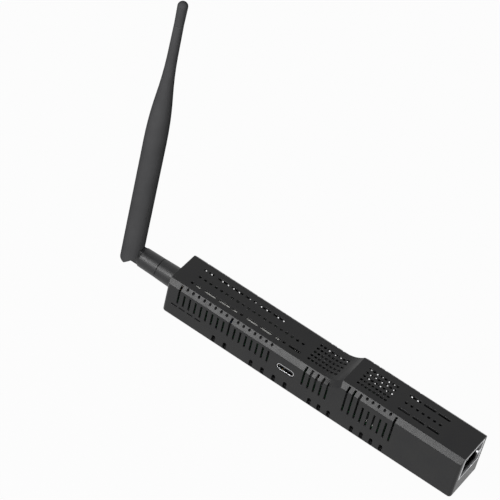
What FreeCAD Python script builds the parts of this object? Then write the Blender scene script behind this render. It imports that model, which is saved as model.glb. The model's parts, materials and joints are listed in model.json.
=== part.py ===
import FreeCAD, Part
import Sketcher
import math
import os

# Radio stick: a slim two-height case with a network jack at one end, a hinged rod
# antenna at the other and a small power and data port in the front side.
# The origin is the centre of the underside, +X runs to the network jack, +Z up.

document = FreeCAD.newDocument("radio_stick")
sheet = document.addObject("Spreadsheet::Sheet", "Sizes")

SIZES = (
    ("case_length", 154.0, "case, outside, along X"),
    ("case_width", 22.0, "case, outside, along Y"),
    ("low_height", 20.5, "height of the antenna part of the case"),
    ("high_height", 24.9, "height of the network jack part of the case"),
    ("ramp_start", 81.0, "antenna end to the foot of the ramp"),
    ("ramp_length", 10.0, "foot to crest of the ramp"),
    ("side_wall", 1.2, "thickness of the side and end walls"),
    ("top_wall", 0.9, "thickness of the top wall"),
    ("edge_chamfer", 2.3, "45 degree flat along both top edges"),
    ("corner_round", 1.5, "radius of the four upright corners"),
    ("vent_width", 0.9, "width of an upright side vent"),
    ("vent_pitch", 3.03, "spacing of the upright side vents"),
    ("vent_foot", 9.6, "height of the lower ends of the side vents"),
    ("long_vent_drop", 0.5, "top of the case to the top of a long vent"),
    ("low_vent_drop", 3.6, "low top to the top of a short vent"),
    ("high_vent_drop", 5.4, "high top to the top of a short vent"),
    ("dot_diameter", 1.0, "round hole above a short vent"),
    ("dot_drop", 0.78, "top of the case to the centre of that hole"),
    ("first_vents", 6.7, "antenna end to the first side vent"),
    ("second_vents", 73.9, "antenna end to the second group of side vents"),
    ("third_vents", 95.25, "antenna end to the third group of side vents"),
    ("dash_length", 3.2, "lying dash vents near the antenna"),
    ("dash_width", 0.9, "width of a dash vent"),
    ("dash_height", 7.75, "height of the dash centres"),
    ("dash_start", 5.4, "antenna end to the first dash centre"),
    ("dash_pitch", 4.3, "spacing of the dashes"),
    ("foot_vent_width", 1.8, "width of the round-ended vents by the floor"),
    ("foot_vent_length", 4.0, "overall height of those vents"),
    ("foot_vent_height", 2.95, "height of their centres"),
    ("foot_vent_corner", 0.5, "cut-off corners of those vents"),
    ("foot_vents_a", 27.8, "antenna end to the first pair of floor vents"),
    ("foot_vents_b", 48.2, "antenna end to the four floor vents"),
    ("foot_pitch_wide", 6.1, "spacing in the first two groups"),
    ("foot_vents_c", 79.5, "antenna end to the three floor vents"),
    ("foot_vents_d", 101.9, "antenna end to the last four floor vents"),
    ("foot_pitch_close", 5.1, "spacing in the last two groups"),
    ("opening_lift", 1.0, "board to where the top openings are cut from"),
    ("top_slot_width", 1.2, "width of the slots in the top"),
    ("top_slot_long", 6.0, "length of a long top slot"),
    ("top_slot_short", 2.6, "length of a short top slot"),
    ("top_hole", 1.4, "diameter of the round holes in the top"),
    ("top_row_offset", 5.1, "middle to the outer rows of the low top"),
    ("middle_row_start", 9.5, "antenna end to the first middle hole"),
    ("middle_row_pitch", 2.93, "spacing of the middle holes"),
    ("grid_pitch", 2.0, "spacing along X in both grilles"),
    ("grid_row_pitch", 2.48, "spacing along Y in both grilles"),
    ("low_grid_start", 71.6, "antenna end to the grille on the low top"),
    ("high_grid_start", 96.6, "antenna end to the grille on the high top"),
    ("end_row_offset", 4.7, "middle to the outer rows by the jack"),
    ("end_slot_inset", 19.0, "jack end to the last slot centre"),
    ("end_slot_pitch", 7.45, "spacing of the slots by the jack"),
    ("end_hole_inset", 18.2, "jack end to the last middle hole"),
    ("screw_a", 68.4, "antenna end to the first cover screw"),
    ("screw_b", 114.5, "antenna end to the second cover screw"),
    ("post_diameter", 4.6, "screw post hanging from the top"),
    ("post_bore", 2.0, "pilot bore of a screw post"),
    ("post_bore_depth", 5.2, "depth of the pilot bore"),
    ("cover_thickness", 1.4, "plate of the bottom cover"),
    ("cover_gap", 0.15, "clearance between cover and walls"),
    ("standoff_diameter", 5.4, "round pillar under the board at a screw"),
    ("screw_bore", 2.4, "through bore for a screw"),
    ("head_bore", 4.4, "counterbore for a screw head"),
    ("head_bore_depth", 2.2, "depth of that counterbore"),
    ("rest_width", 2.8, "small square board rests on the cover"),
    ("rest_inset", 12.0, "ends of the case to the board rests"),
    ("rest_offset", 6.8, "middle to the board rests"),
    ("floor_slot_width", 1.4, "width of the slots in the cover"),
    ("floor_slot_length", 12.0, "length of the slots in the cover"),
    ("floor_slot_pitch", 4.0, "spacing of the slots in the cover"),
    ("floor_slots_a", 20.0, "antenna end to the first cover slot"),
    ("floor_slots_b", 92.0, "antenna end to the second group"),
    ("screw_diameter", 1.9, "thread of a cover screw"),
    ("screw_head", 4.0, "head of a cover screw"),
    ("screw_head_height", 1.4, "height of the head"),
    ("screw_length", 12.5, "length under the head"),
    ("screw_recess", 1.2, "width of the cross recess"),
    ("screw_recess_span", 2.2, "overall size of the cross recess"),
    ("screw_recess_depth", 0.8, "depth of the cross recess"),
    ("board_thickness", 1.6, "main circuit board"),
    ("board_top", 10.2, "height of the upper side of the board"),
    ("board_gap", 0.4, "clearance between board and walls"),
    ("module_width", 9.6, "carrier boards of both radio modules"),
    ("module_thickness", 0.8, "thickness of a carrier board"),
    ("module_shift", 4.0, "module centre lines, towards the front"),
    ("radio_module_start", 9.0, "antenna end to the radio module"),
    ("radio_module_length", 25.0, "length of the radio module"),
    ("network_module_start", 35.6, "antenna end to the network module"),
    ("network_module_length", 21.2, "length of the network module"),
    ("header_height", 6.0, "pin headers between the board and the modules"),
    ("header_width", 2.2, "width of a pin header"),
    ("shield_inset", 1.0, "edge of a module to its shield and headers"),
    ("shield_height", 2.4, "height of a module shield"),
    ("jack_width", 16.0, "network jack, along Y"),
    ("jack_height", 13.3, "network jack, along Z"),
    ("jack_depth", 15.6, "network jack, along X"),
    ("jack_inset", 0.2, "jack face behind the end wall's outer face"),
    ("jack_sheet", 0.45, "sheet of the jack's metal shield"),
    ("jack_gap", 0.2, "clearance around the jack in the end wall"),
    ("jack_face_inset", 0.3, "moulded face behind the shield's rim"),
    ("plug_width", 11.9, "plug cavity, along Y"),
    ("plug_height", 7.6, "plug cavity, along Z"),
    ("plug_depth", 13.0, "plug cavity, along X"),
    ("plug_floor", 1.5, "shield's foot to the cavity's floor"),
    ("latch_width", 6.2, "latch notch, lower step"),
    ("latch_height", 1.5, "height of each latch step"),
    ("latch_top_width", 3.6, "latch notch, upper step"),
    ("window_width", 2.6, "light windows beside the latch"),
    ("window_height", 2.0, "height of the light windows"),
    ("window_depth", 1.5, "depth of the light windows"),
    ("window_offset", 5.4, "middle to the light windows"),
    ("contact_pitch", 1.02, "spacing of the jack contacts"),
    ("contact_width", 0.42, "width of a jack contact"),
    ("contact_thickness", 0.35, "thickness of a jack contact"),
    ("contact_length", 8.0, "length of a jack contact along X"),
    ("contact_rise", 1.4, "rise of a jack contact"),
    ("port_centre", 64.8, "antenna end to the middle of the front port"),
    ("port_width", 8.94, "front port shell, along X"),
    ("port_height", 3.26, "front port shell, along Z"),
    ("port_depth", 7.35, "front port shell, along Y"),
    ("port_sheet", 0.3, "sheet of the front port shell"),
    ("port_inset", 0.35, "port face behind the front side"),
    ("port_gap", 0.3, "clearance around the port in the front side"),
    ("tongue_width", 6.6, "contact tongue of the front port"),
    ("tongue_thickness", 0.7, "thickness of the tongue"),
    ("tongue_inset", 0.9, "tongue's tip behind the port face"),
    ("tongue_root", 1.6, "depth of the moulded root of the tongue"),
    ("antenna_height", 10.5, "height of the antenna socket's axis"),
    ("socket_thread", 6.35, "outside of the socket's threaded barrel"),
    ("socket_bore", 4.4, "bore of the socket's barrel"),
    ("socket_reach", 7.6, "length of the barrel outside the case"),
    ("socket_relief", 0.55, "bevel at the mouth of the barrel"),
    ("socket_hole_gap", 0.15, "clearance of the barrel in the end wall"),
    ("flange_size", 6.6, "square flange inside the end wall"),
    ("flange_thickness", 1.8, "thickness of the flange"),
    ("leg_length", 4.0, "solder legs of the socket"),
    ("leg_width", 1.0, "width of a solder leg"),
    ("leg_height", 0.9, "height of a solder leg"),
    ("leg_offset", 2.7, "middle to the solder legs"),
    ("socket_contact", 1.3, "outside of the socket's centre contact"),
    ("contact_bore", 1.0, "bore of the socket's centre contact"),
    ("contact_bore_depth", 3.0, "depth of that bore"),
    ("contact_tail", 0.6, "tail of the centre contact on the board"),
    ("contact_tail_length", 3.2, "length of that tail past the flange"),
    ("collar_gap", 0.3, "case to the antenna's screwed collar"),
    ("collar_length", 10.2, "length of the collar"),
    ("collar_foot", 10.3, "collar's diameter at the case"),
    ("collar_head", 9.8, "collar's diameter at its seam"),
    ("collar_bore", 8.0, "bore of the collar"),
    ("collar_wall", 1.1, "end wall of the collar"),
    ("collar_edge", 0.35, "rounding of the collar's foot"),
    ("nut_gap", 0.05, "radial clearance of nut in collar and on barrel"),
    ("nut_length", 7.4, "length of the threaded nut"),
    ("nut_inset", 0.4, "nut behind the collar's foot"),
    ("plug_pin", 0.9, "centre pin of the antenna"),
    ("plug_pin_reach", 5.2, "pin's tip outside the case"),
    ("plug_pin_root", 2.4, "length of the pin held in the knuckle"),
    ("seam", 0.2, "gap between collar and knuckle"),
    ("neck_diameter", 5.6, "knuckle's neck in the collar"),
    ("neck_gap", 0.06, "radial clearance of the neck"),
    ("neck_head", 7.0, "head that holds the neck"),
    ("neck_head_length", 0.8, "thickness of that head"),
    ("knuckle_seam", 9.7, "knuckle's diameter at the seam"),
    ("knuckle_shoulder", 9.4, "knuckle's diameter at the shoulder"),
    ("knuckle_edge", 0.5, "rounding of the shoulder"),
    ("hinge_reach", 26.25, "case to the hinge axis"),
    ("hinge_clear", 0.25, "shoulder clear of the swinging foot"),
    ("hinge_tongue", 4.0, "thickness of the knuckle's tongue"),
    ("hinge_tongue_radius", 4.5, "end radius of the tongue"),
    ("hinge_side_gap", 0.12, "clearance on each side of the tongue"),
    ("hinge_top_gap", 0.4, "tongue to the roof of the fork"),
    ("trunnion_diameter", 3.0, "round stubs on the tongue"),
    ("trunnion_length", 1.3, "length of each stub"),
    ("trunnion_gap", 0.08, "radial clearance of the stubs"),
    ("mast_diameter", 10.1, "lower part of the mast"),
    ("foot_reach", 5.2, "hinge to the flat end of the mast's foot"),
    ("foot_round", 1.0, "rounding of the foot's edge"),
    ("foot_cut", 4.0, "hinge to the foot's slanted cut, along the mast"),
    ("mast_straight", 69.0, "hinge to the start of the taper"),
    ("mast_taper", 55.0, "length of the taper"),
    ("mast_neck", 4.5, "diameter above the taper"),
    ("mast_tip", 4.2, "diameter at the cap"),
    ("mast_length", 137.2, "hinge to the cap's seam"),
    ("mast_bore", 2.2, "bore for the radiating rod"),
    ("mast_bore_start", 12.0, "hinge to the foot of the bore"),
    ("cap_length", 12.0, "tip cap above its seam"),
    ("cap_diameter", 4.5, "widest diameter of the cap"),
    ("cap_seam", 0.15, "groove between mast and cap"),
    ("cap_plug_length", 4.0, "part of the cap inside the mast"),
    ("cap_plug_gap", 0.05, "radial clearance of that part"),
    ("radiator_diameter", 1.8, "radiating rod"),
    ("radiator_length", 120.0, "length of the rod"),
    ("power_core_start", 73.6, "antenna end to the power transformer"),
    ("power_core_length", 13.0, "core of the power transformer, X"),
    ("power_core_width", 11.6, "core of the power transformer, Y"),
    ("power_core_height", 8.6, "core of the power transformer, Z"),
    ("power_core_leg", 2.4, "thickness of the core's legs"),
    ("winding_gap", 0.3, "winding to core"),
    ("filter_can", 6.3, "diameter of a filter capacitor"),
    ("filter_can_height", 7.7, "height of a filter capacitor"),
    ("filter_can_start", 92.6, "antenna end to the first capacitor"),
    ("filter_can_pitch", 7.8, "spacing of the capacitors"),
    ("filter_can_offset", 5.2, "middle to the capacitors, front"),
    ("inductor_size", 6.0, "square power inductor"),
    ("inductor_height", 3.0, "height of the inductor"),
    ("inductor_start", 90.0, "antenna end to the inductor"),
    ("inductor_offset", 5.0, "middle to the inductor, back"),
    ("network_chip_size", 7.0, "network controller"),
    ("network_chip_centre", 106.0, "antenna end to the network controller"),
    ("chip_height", 0.9, "height of the flat chips"),
    ("chip_offset", 3.2, "middle to the network controller, back"),
    ("bridge_chip_size", 5.0, "serial bridge"),
    ("bridge_chip_centre", 62.8, "antenna end to the serial bridge"),
    ("bridge_chip_offset", 5.6, "middle to the serial bridge, back"),
    ("power_chip_length", 4.9, "power controller, X"),
    ("power_chip_width", 3.9, "power controller, Y"),
    ("power_chip_height", 1.5, "power controller, Z"),
    ("power_chip_centre", 108.2, "antenna end to the power controller"),
    ("power_chip_offset", 6.4, "middle to the power controller, front"),
    ("line_block_start", 121.0, "antenna end to the line transformer"),
    ("line_block_length", 12.7, "line transformer, X"),
    ("line_block_width", 9.4, "line transformer, Y"),
    ("line_block_height", 5.6, "line transformer, Z"),
    ("diode_length", 4.3, "rectifier, X"),
    ("diode_width", 2.6, "rectifier, Y"),
    ("diode_height", 2.2, "rectifier, Z"),
    ("diode_start", 115.6, "antenna end to the rectifiers"),
    ("diode_offset", 6.2, "middle to the rectifiers"),
    ("lamp_length", 1.6, "status lamp, X"),
    ("lamp_width", 0.8, "status lamp, Y"),
    ("lamp_height", 0.7, "status lamp, Z"),
    ("lamp_centre", 58.6, "antenna end to the status lamps"),
)

# Row of slots and holes along the low top, from the antenna end. Each entry is a
# kind and its centre. The back row has the same ones, up to the bare badge place.
TOP_ROW = (
    ("hole", 8.9), ("short", 12.2), ("long", 18.8), ("long", 26.4), ("short", 32.1),
    ("hole", 35.7), ("long", 41.3), ("long", 48.8), ("short", 55.2), ("hole", 58.5),
    ("long", 64.1),
)
BACK_ROW_COUNT = 8

# Share of a regular octagon's width that each of its corners takes.
EIGHTH_CORNER = (2 - math.sqrt(2)) / 2
# Shoulder and flat top of the cap's two-step dome, as shares of its radius.
DOME_STEP = 0.78
DOME_TOP = 1 / 3
GROUP_OF_SHORT_VENTS = 8
VENTS_BEFORE_SECOND_LONG = 9
LATE_SHORT_VENTS = 7
SECOND_GROUP_VENTS = 5
THIRD_GROUP_LONG = 3
THIRD_GROUP_SHORT = 5
DASHES = 4
MIDDLE_HOLES = 20
GRID_COLUMNS = 8
GRID_ROWS = 5
END_SLOTS = 3
END_HOLES = 7
JACK_CONTACTS = 8
CORE_LEGS = 3
COVER_SLOTS_A = 9
COVER_SLOTS_B = 4


class Length:
    """A length in millimetres with the spreadsheet formula that it comes from."""

    def __init__(self, value, formula):
        self.value = value
        self.formula = formula

    def __add__(self, other):
        other = as_length(other)
        return Length(self.value + other.value, "(%s + %s)" % (self.formula, other.formula))

    def __sub__(self, other):
        other = as_length(other)
        return Length(self.value - other.value, "(%s - %s)" % (self.formula, other.formula))

    def __mul__(self, other):
        other = as_length(other)
        return Length(self.value * other.value, "(%s * %s)" % (self.formula, other.formula))

    def __truediv__(self, other):
        other = as_length(other)
        return Length(self.value / other.value, "(%s / %s)" % (self.formula, other.formula))

    def __neg__(self):
        return Length(-self.value, "(0 - %s)" % self.formula)


def as_length(number):
    if isinstance(number, Length):
        return number
    return Length(float(number), repr(number))


def root(length):
    return Length(math.sqrt(length.value), "sqrt(%s)" % length.formula)


def fill_sheet():
    for row, (name, value, note) in enumerate(SIZES, 1):
        sheet.set("A%d" % row, note)
        sheet.set("B%d" % row, str(value))
        sheet.setAlias("B%d" % row, name)
    first_row_entry = len(SIZES) + 1
    for row, (kind, centre) in enumerate(TOP_ROW, first_row_entry):
        sheet.set("A%d" % row, "antenna end to a %s opening of the top row" % kind)
        sheet.set("B%d" % row, str(centre))
        sheet.setAlias("B%d" % row, "top_row_%d" % (row - first_row_entry + 1))
    document.recompute()


def size(name):
    return Length(float(sheet.get(name)), "Sizes.%s" % name)


fill_sheet()
ZERO = as_length(0)
HALF_LENGTH = size("case_length") / 2
HALF_WIDTH = size("case_width") / 2
BOARD_TOP = size("board_top")
BOARD_UNDER = BOARD_TOP - size("board_thickness")
RISE = size("high_height") - size("low_height")
RAMP_RADIUS = (size("ramp_length") * size("ramp_length") + RISE * RISE) / (RISE * 2)
PARTS = []


def from_antenna_end(length):
    return length - HALF_LENGTH


def from_jack_end(length):
    return HALF_LENGTH - length


def new_body(name):
    body = document.addObject("PartDesign::Body", name)
    body.Label = name
    PARTS.append(body)
    return body


def place_object(target, x=ZERO, y=ZERO, z=ZERO):
    for axis, length in (("x", x), ("y", y), ("z", z)):
        target.setExpression("Placement.Base.%s" % axis, length.formula)


def origin_feature(body, role):
    return [item for item in body.Origin.OriginFeatures if item.Role == role][0]


def new_sketch(body, name, role, offset=ZERO):
    sketch = body.newObject("Sketcher::SketchObject", name)
    sketch.AttachmentSupport = [(origin_feature(body, role), "")]
    sketch.MapMode = "FlatFace"
    sketch.AttachmentOffset = FreeCAD.Placement(FreeCAD.Vector(0, 0, offset.value), FreeCAD.Rotation())
    sketch.setExpression("AttachmentOffset.Base.z", offset.formula)
    return sketch


def fix_point(sketch, geometry, point, x, y):
    for kind, length in (("DistanceX", x), ("DistanceY", y)):
        index = sketch.addConstraint(Sketcher.Constraint(kind, -1, 1, geometry, point, length.value))
        sketch.setExpression("Constraints[%d]" % index, length.formula)


def vector(point):
    return FreeCAD.Vector(point[0].value, point[1].value, 0)


def add_outline(sketch, points):
    """Closed outline through points. A point may carry the centre of an arc that leaves
    it, 1 for anticlockwise or -1 for clockwise, and the axis that places the centre."""
    edges = []
    for index, point in enumerate(points):
        start = vector(point)
        end = vector(points[(index + 1) % len(points)])
        if len(point) == 2:
            edges.append((sketch.addGeometry(Part.LineSegment(start, end), False), 1, 2))
            continue
        centre = vector(point[2])
        first, last = (start, end) if point[3] > 0 else (end, start)
        angles = [math.atan2(item.y - centre.y, item.x - centre.x) for item in (first, last)]
        circle = Part.Circle(centre, FreeCAD.Vector(0, 0, 1), (start - centre).Length)
        arc = Part.ArcOfCircle(circle, angles[0], angles[1])
        edges.append((sketch.addGeometry(arc, False),) + ((1, 2) if point[3] > 0 else (2, 1)))
    for index, point in enumerate(points):
        geometry, start_point, end_point = edges[index]
        following, following_start, _ = edges[(index + 1) % len(points)]
        sketch.addConstraint(
            Sketcher.Constraint("Coincident", geometry, end_point, following, following_start))
        fix_point(sketch, geometry, start_point, point[0], point[1])
        if len(point) > 2:
            fix_centre(sketch, geometry, point[2], point[4])


def fix_centre(sketch, geometry, centre, axis):
    kind, length = ("DistanceX", centre[0]) if axis == "x" else ("DistanceY", centre[1])
    index = sketch.addConstraint(Sketcher.Constraint(kind, -1, 1, geometry, 3, length.value))
    sketch.setExpression("Constraints[%d]" % index, length.formula)


def add_rectangle(sketch, left, bottom, right, top):
    add_outline(sketch, [(left, bottom), (right, bottom), (right, top), (left, top)])


def add_centred(sketch, x, y, width, height):
    add_rectangle(sketch, x - width / 2, y - height / 2, x + width / 2, y + height / 2)


def add_circle(sketch, x, y, diameter):
    circle = Part.Circle(FreeCAD.Vector(x.value, y.value, 0), FreeCAD.Vector(0, 0, 1), diameter.value / 2)
    geometry = sketch.addGeometry(circle, False)
    index = sketch.addConstraint(Sketcher.Constraint("Diameter", geometry, diameter.value))
    sketch.setExpression("Constraints[%d]" % index, diameter.formula)
    fix_point(sketch, geometry, 3, x, y)


def add_eight_sided(sketch, x, y, width, height, corner):
    """Opening with its corners cut off, which stands for a round or round-ended one
    where many of them repeat."""
    far_x = width / 2
    far_y = height / 2
    near_x = far_x - corner
    near_y = far_y - corner
    steps = (
        (near_x, -far_y), (far_x, -near_y), (far_x, near_y), (near_x, far_y),
        (-near_x, far_y), (-far_x, near_y), (-far_x, -near_y), (-near_x, -far_y),
    )
    add_outline(sketch, [(x + across, y + along) for across, along in steps])


def add_round_hole(sketch, x, y, diameter):
    add_eight_sided(sketch, x, y, diameter, diameter, diameter * EIGHTH_CORNER)


def add_stadium(sketch, x, y, width, height):
    """Slot with round ends, lying along the sketch's first axis."""
    radius = height / 2
    reach = width / 2 - radius
    add_outline(sketch, [
        (x - reach, y - radius), (x + reach, y - radius, (x + reach, y), 1, "x"),
        (x + reach, y + radius), (x - reach, y + radius, (x - reach, y), 1, "x"),
    ])


def finish_feature(body, feature, sketch, cuts):
    before = body.Shape.Volume if not body.Shape.isNull() else 0.0
    body.Tip = feature
    feature.Refine = False
    document.recompute()
    if sketch is not None:
        sketch.Visibility = False
    change = body.Shape.Volume - before
    if (cuts and change > -1e-6) or (not cuts and change < 1e-6):
        raise RuntimeError("%s of %s changes nothing" % (feature.Label, body.Label))
    return feature


def add_pad(body, sketch, name, length, symmetric=False, backwards=False):
    pad = body.newObject("PartDesign::Pad", name)
    pad.Profile = sketch
    pad.SideType = "Symmetric" if symmetric else "One side"
    pad.Reversed = backwards
    pad.Length = length.value
    pad.setExpression("Length", length.formula)
    return finish_feature(body, pad, sketch, False)


def add_pocket(body, sketch, name, length=None, symmetric=False, backwards=False):
    pocket = body.newObject("PartDesign::Pocket", name)
    pocket.Profile = sketch
    pocket.SideType = "Symmetric" if symmetric else "One side"
    pocket.Reversed = backwards
    if length is None:
        pocket.Type = "ThroughAll"
    else:
        pocket.Length = length.value
        pocket.setExpression("Length", length.formula)
    return finish_feature(body, pocket, sketch, True)


def add_revolution(body, sketch, name, axis="H_Axis"):
    turned = body.newObject("PartDesign::Revolution", name)
    turned.Profile = sketch
    turned.ReferenceAxis = (sketch, [axis])
    turned.Angle = 360
    return finish_feature(body, turned, sketch, False)


def repeat(body, feature, name, role, pitch, count, cuts=False):
    """Copies of a feature at one pitch along an axis."""
    pattern = body.newObject("PartDesign::LinearPattern", name)
    pattern.Originals = [feature]
    pattern.Direction = (origin_feature(body, role), [""])
    pattern.Mode = "Spacing"
    pattern.Offset = pitch.value
    pattern.setExpression("Offset", pitch.formula)
    pattern.Occurrences = count
    return finish_feature(body, pattern, None, cuts)


def cut_bodies(body, name, cutters):
    cut = body.newObject("PartDesign::Boolean", name)
    cut.setObjects(cutters)
    cut.Type = "Cut"
    return finish_feature(body, cut, None, True)


def edges_where(body, test):
    names = []
    for index, edge in enumerate(body.Shape.Edges, 1):
        if test([vertex.Point for vertex in edge.Vertexes]):
            names.append("Edge%d" % index)
    return names


def add_dressing(body, kind, name, edges, property_name, length):
    base = body.Tip
    feature = body.newObject("PartDesign::%s" % kind, name)
    feature.Base = (base, edges)
    setattr(feature, property_name, length.value)
    feature.setExpression(property_name, length.formula)
    body.Tip = feature
    document.recompute()
    return feature


def add_box(name, x, y, z, length, width, height, part=True):
    box = document.addObject("Part::Box", name)
    box.Label = name
    for property_name, value in (("Length", length), ("Width", width), ("Height", height)):
        box.setExpression(property_name, value.formula)
    place_object(box, x, y, z)
    if part:
        PARTS.append(box)
    return box


def add_centred_box(name, x, y, z, length, width, height, part=True):
    return add_box(name, x - length / 2, y - width / 2, z, length, width, height, part)


def add_cylinder(name, x, y, z, diameter, height, part=True):
    cylinder = document.addObject("Part::Cylinder", name)
    cylinder.Label = name
    cylinder.setExpression("Radius", (diameter / 2).formula)
    cylinder.setExpression("Height", height.formula)
    place_object(cylinder, x, y, z)
    if part:
        PARTS.append(cylinder)
    return cylinder


def group(name, shapes):
    """Separate like solids that share one node."""
    compound = document.addObject("Part::Compound", name)
    compound.Label = name
    compound.Links = shapes
    PARTS.append(compound)
    return compound


def case_outline(sketch, inset_end, inset_top):
    """Side view of the case. The ramp is one arc, tangent to the low top."""
    end = HALF_LENGTH - inset_end
    foot = from_antenna_end(size("ramp_start"))
    radius = RAMP_RADIUS + inset_top
    crest = foot + root(radius * RISE * 2 - RISE * RISE)
    low = size("low_height") - inset_top
    high = size("high_height") - inset_top
    centre = (foot, size("low_height") + RAMP_RADIUS)
    add_outline(sketch, [
        (-end, ZERO), (end, ZERO), (end, high), (crest, high, centre, -1, "x"), (foot, low), (-end, low),
    ])


def new_cutter(name):
    """Body of separate prisms that are cut out of the case together."""
    cutter = document.addObject("PartDesign::Body", name)
    cutter.AllowCompound = True
    return cutter


def side_openings():
    """Prisms across both sides, so that the front and back have the same vents. The
    middle of the top wall is spared."""
    cutter = new_cutter("side_openings")
    across = size("case_width") * 2
    low = size("low_height")
    high = size("high_height")
    pitch = size("vent_pitch")
    width = size("vent_width")

    def upright(name, start, top, count, spacing, short_drop=None):
        sketch = new_sketch(cutter, name + "_sketch", "XZ_Plane")
        centre = from_antenna_end(start)
        drop = size("long_vent_drop") if short_drop is None else short_drop
        add_rectangle(sketch, centre - width / 2, size("vent_foot"), centre + width / 2, top - drop)
        if short_drop is not None:
            add_round_hole(sketch, centre, top - size("dot_drop"), size("dot_diameter"))
        vent = add_pad(cutter, sketch, name, across, symmetric=True)
        if count > 1:
            repeat(cutter, vent, name + "_row", "X_Axis", spacing, count)

    first = size("first_vents")
    third = size("third_vents")
    low_drop = size("low_vent_drop")
    high_drop = size("high_vent_drop")
    between = pitch * VENTS_BEFORE_SECOND_LONG
    upright("first_long_vents", first, low, 2, between)
    upright("first_short_vents", first + pitch, low, GROUP_OF_SHORT_VENTS, pitch, low_drop)
    upright("late_short_vents", first + between + pitch, low, LATE_SHORT_VENTS, pitch, low_drop)
    upright("second_vents", size("second_vents"), low, SECOND_GROUP_VENTS, pitch)
    upright("third_long_vents", third, high, THIRD_GROUP_LONG, pitch)
    upright("third_short_vents", third + pitch * THIRD_GROUP_LONG, high, THIRD_GROUP_SHORT, pitch, high_drop)
    upright("last_vent", third + pitch * (THIRD_GROUP_LONG + THIRD_GROUP_SHORT), high, 1, pitch)

    dash = new_sketch(cutter, "dash_sketch", "XZ_Plane")
    start = from_antenna_end(size("dash_start"))
    add_centred(dash, start, size("dash_height"), size("dash_length"), size("dash_width"))
    dashes = add_pad(cutter, dash, "dash_vents", across, symmetric=True)
    repeat(cutter, dashes, "dash_vents_row", "X_Axis", size("dash_pitch"), DASHES)

    wide = size("foot_pitch_wide")
    close = size("foot_pitch_close")
    for name, spacing, count in (("a", wide, 2), ("b", wide, 4), ("c", close, 3), ("d", close, 4)):
        label = "foot_vents_" + name
        sketch = new_sketch(cutter, label + "_sketch", "XZ_Plane")
        add_eight_sided(sketch, from_antenna_end(size(label)), size("foot_vent_height"),
                        size("foot_vent_width"), size("foot_vent_length"), size("foot_vent_corner"))
        vent = add_pad(cutter, sketch, label, across, symmetric=True)
        repeat(cutter, vent, label + "_row", "X_Axis", spacing, count)

    middle = new_sketch(cutter, "spared_middle_sketch", "XZ_Plane")
    add_rectangle(middle, -HALF_LENGTH, ZERO, HALF_LENGTH, high)
    spared = (HALF_WIDTH - size("side_wall") - size("edge_chamfer")) * 2
    add_pocket(cutter, middle, "spared_middle", spared, symmetric=True)
    return cutter


def top_openings():
    """Prisms from above the board through the top wall."""
    cutter = new_cutter("top_openings")
    reach = size("high_height") - BOARD_TOP
    hole = size("top_hole")
    slot = size("top_slot_width")
    lengths = {"long": size("top_slot_long"), "short": size("top_slot_short")}

    def upward(sketch, name):
        return add_pad(cutter, sketch, name, reach)

    def start_sketch(name):
        return new_sketch(cutter, name + "_sketch", "XY_Plane", BOARD_TOP + size("opening_lift"))

    offset = size("top_row_offset")
    for name, side, count in (("front_row", -offset, len(TOP_ROW)), ("back_row", offset, BACK_ROW_COUNT)):
        row = start_sketch(name)
        for index, (kind, _) in enumerate(TOP_ROW[:count], 1):
            centre = from_antenna_end(size("top_row_%d" % index))
            if kind == "hole":
                add_round_hole(row, centre, side, hole)
            else:
                add_centred(row, centre, side, lengths[kind], slot)
        upward(row, name)

    middle = start_sketch("middle_row")
    add_round_hole(middle, from_antenna_end(size("middle_row_start")), ZERO, hole)
    repeat(cutter, upward(middle, "middle_hole"), "middle_row", "X_Axis",
           size("middle_row_pitch"), MIDDLE_HOLES)

    first_row = -size("grid_row_pitch") * (GRID_ROWS - 1) / 2
    for name in ("low_grid", "high_grid"):
        grid = start_sketch(name)
        for index in range(GRID_ROWS):
            add_round_hole(grid, from_antenna_end(size(name + "_start")),
                           first_row + size("grid_row_pitch") * index, hole)
        repeat(cutter, upward(grid, name + "_holes"), name, "X_Axis", size("grid_pitch"), GRID_COLUMNS)

    ends = start_sketch("end_slots")
    first = from_jack_end(size("end_slot_inset") + size("end_slot_pitch") * (END_SLOTS - 1))
    for side in (-size("end_row_offset"), size("end_row_offset")):
        add_centred(ends, first, side, lengths["long"], slot)
    repeat(cutter, upward(ends, "end_slot"), "end_slots", "X_Axis", size("end_slot_pitch"), END_SLOTS)

    holes = start_sketch("end_holes")
    first = from_jack_end(size("end_hole_inset") + size("middle_row_pitch") * (END_HOLES - 1))
    add_round_hole(holes, first, ZERO, hole)
    repeat(cutter, upward(holes, "end_hole"), "end_holes", "X_Axis",
           size("middle_row_pitch"), END_HOLES)
    return cutter


def port_openings(body):
    gap = size("port_gap")
    inside = size("side_wall") * 2
    port = new_sketch(body, "port_opening_sketch", "XZ_Plane", HALF_WIDTH - inside)
    add_stadium(port, from_antenna_end(size("port_centre")), BOARD_TOP + size("port_height") / 2,
                size("port_width") + gap * 2, size("port_height") + gap * 2)
    add_pocket(body, port, "port_opening", backwards=True)

    gap = size("jack_gap")
    jack = new_sketch(body, "jack_opening_sketch", "YZ_Plane", from_jack_end(inside))
    add_rectangle(jack, -(size("jack_width") / 2 + gap), BOARD_TOP - gap,
                  size("jack_width") / 2 + gap, BOARD_TOP + size("jack_height") + gap)
    add_pocket(body, jack, "jack_opening", backwards=True)

    antenna = new_sketch(body, "socket_hole_sketch", "YZ_Plane", from_antenna_end(inside))
    add_circle(antenna, ZERO, size("antenna_height"), size("socket_thread") + size("socket_hole_gap") * 2)
    add_pocket(body, antenna, "socket_hole")


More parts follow.
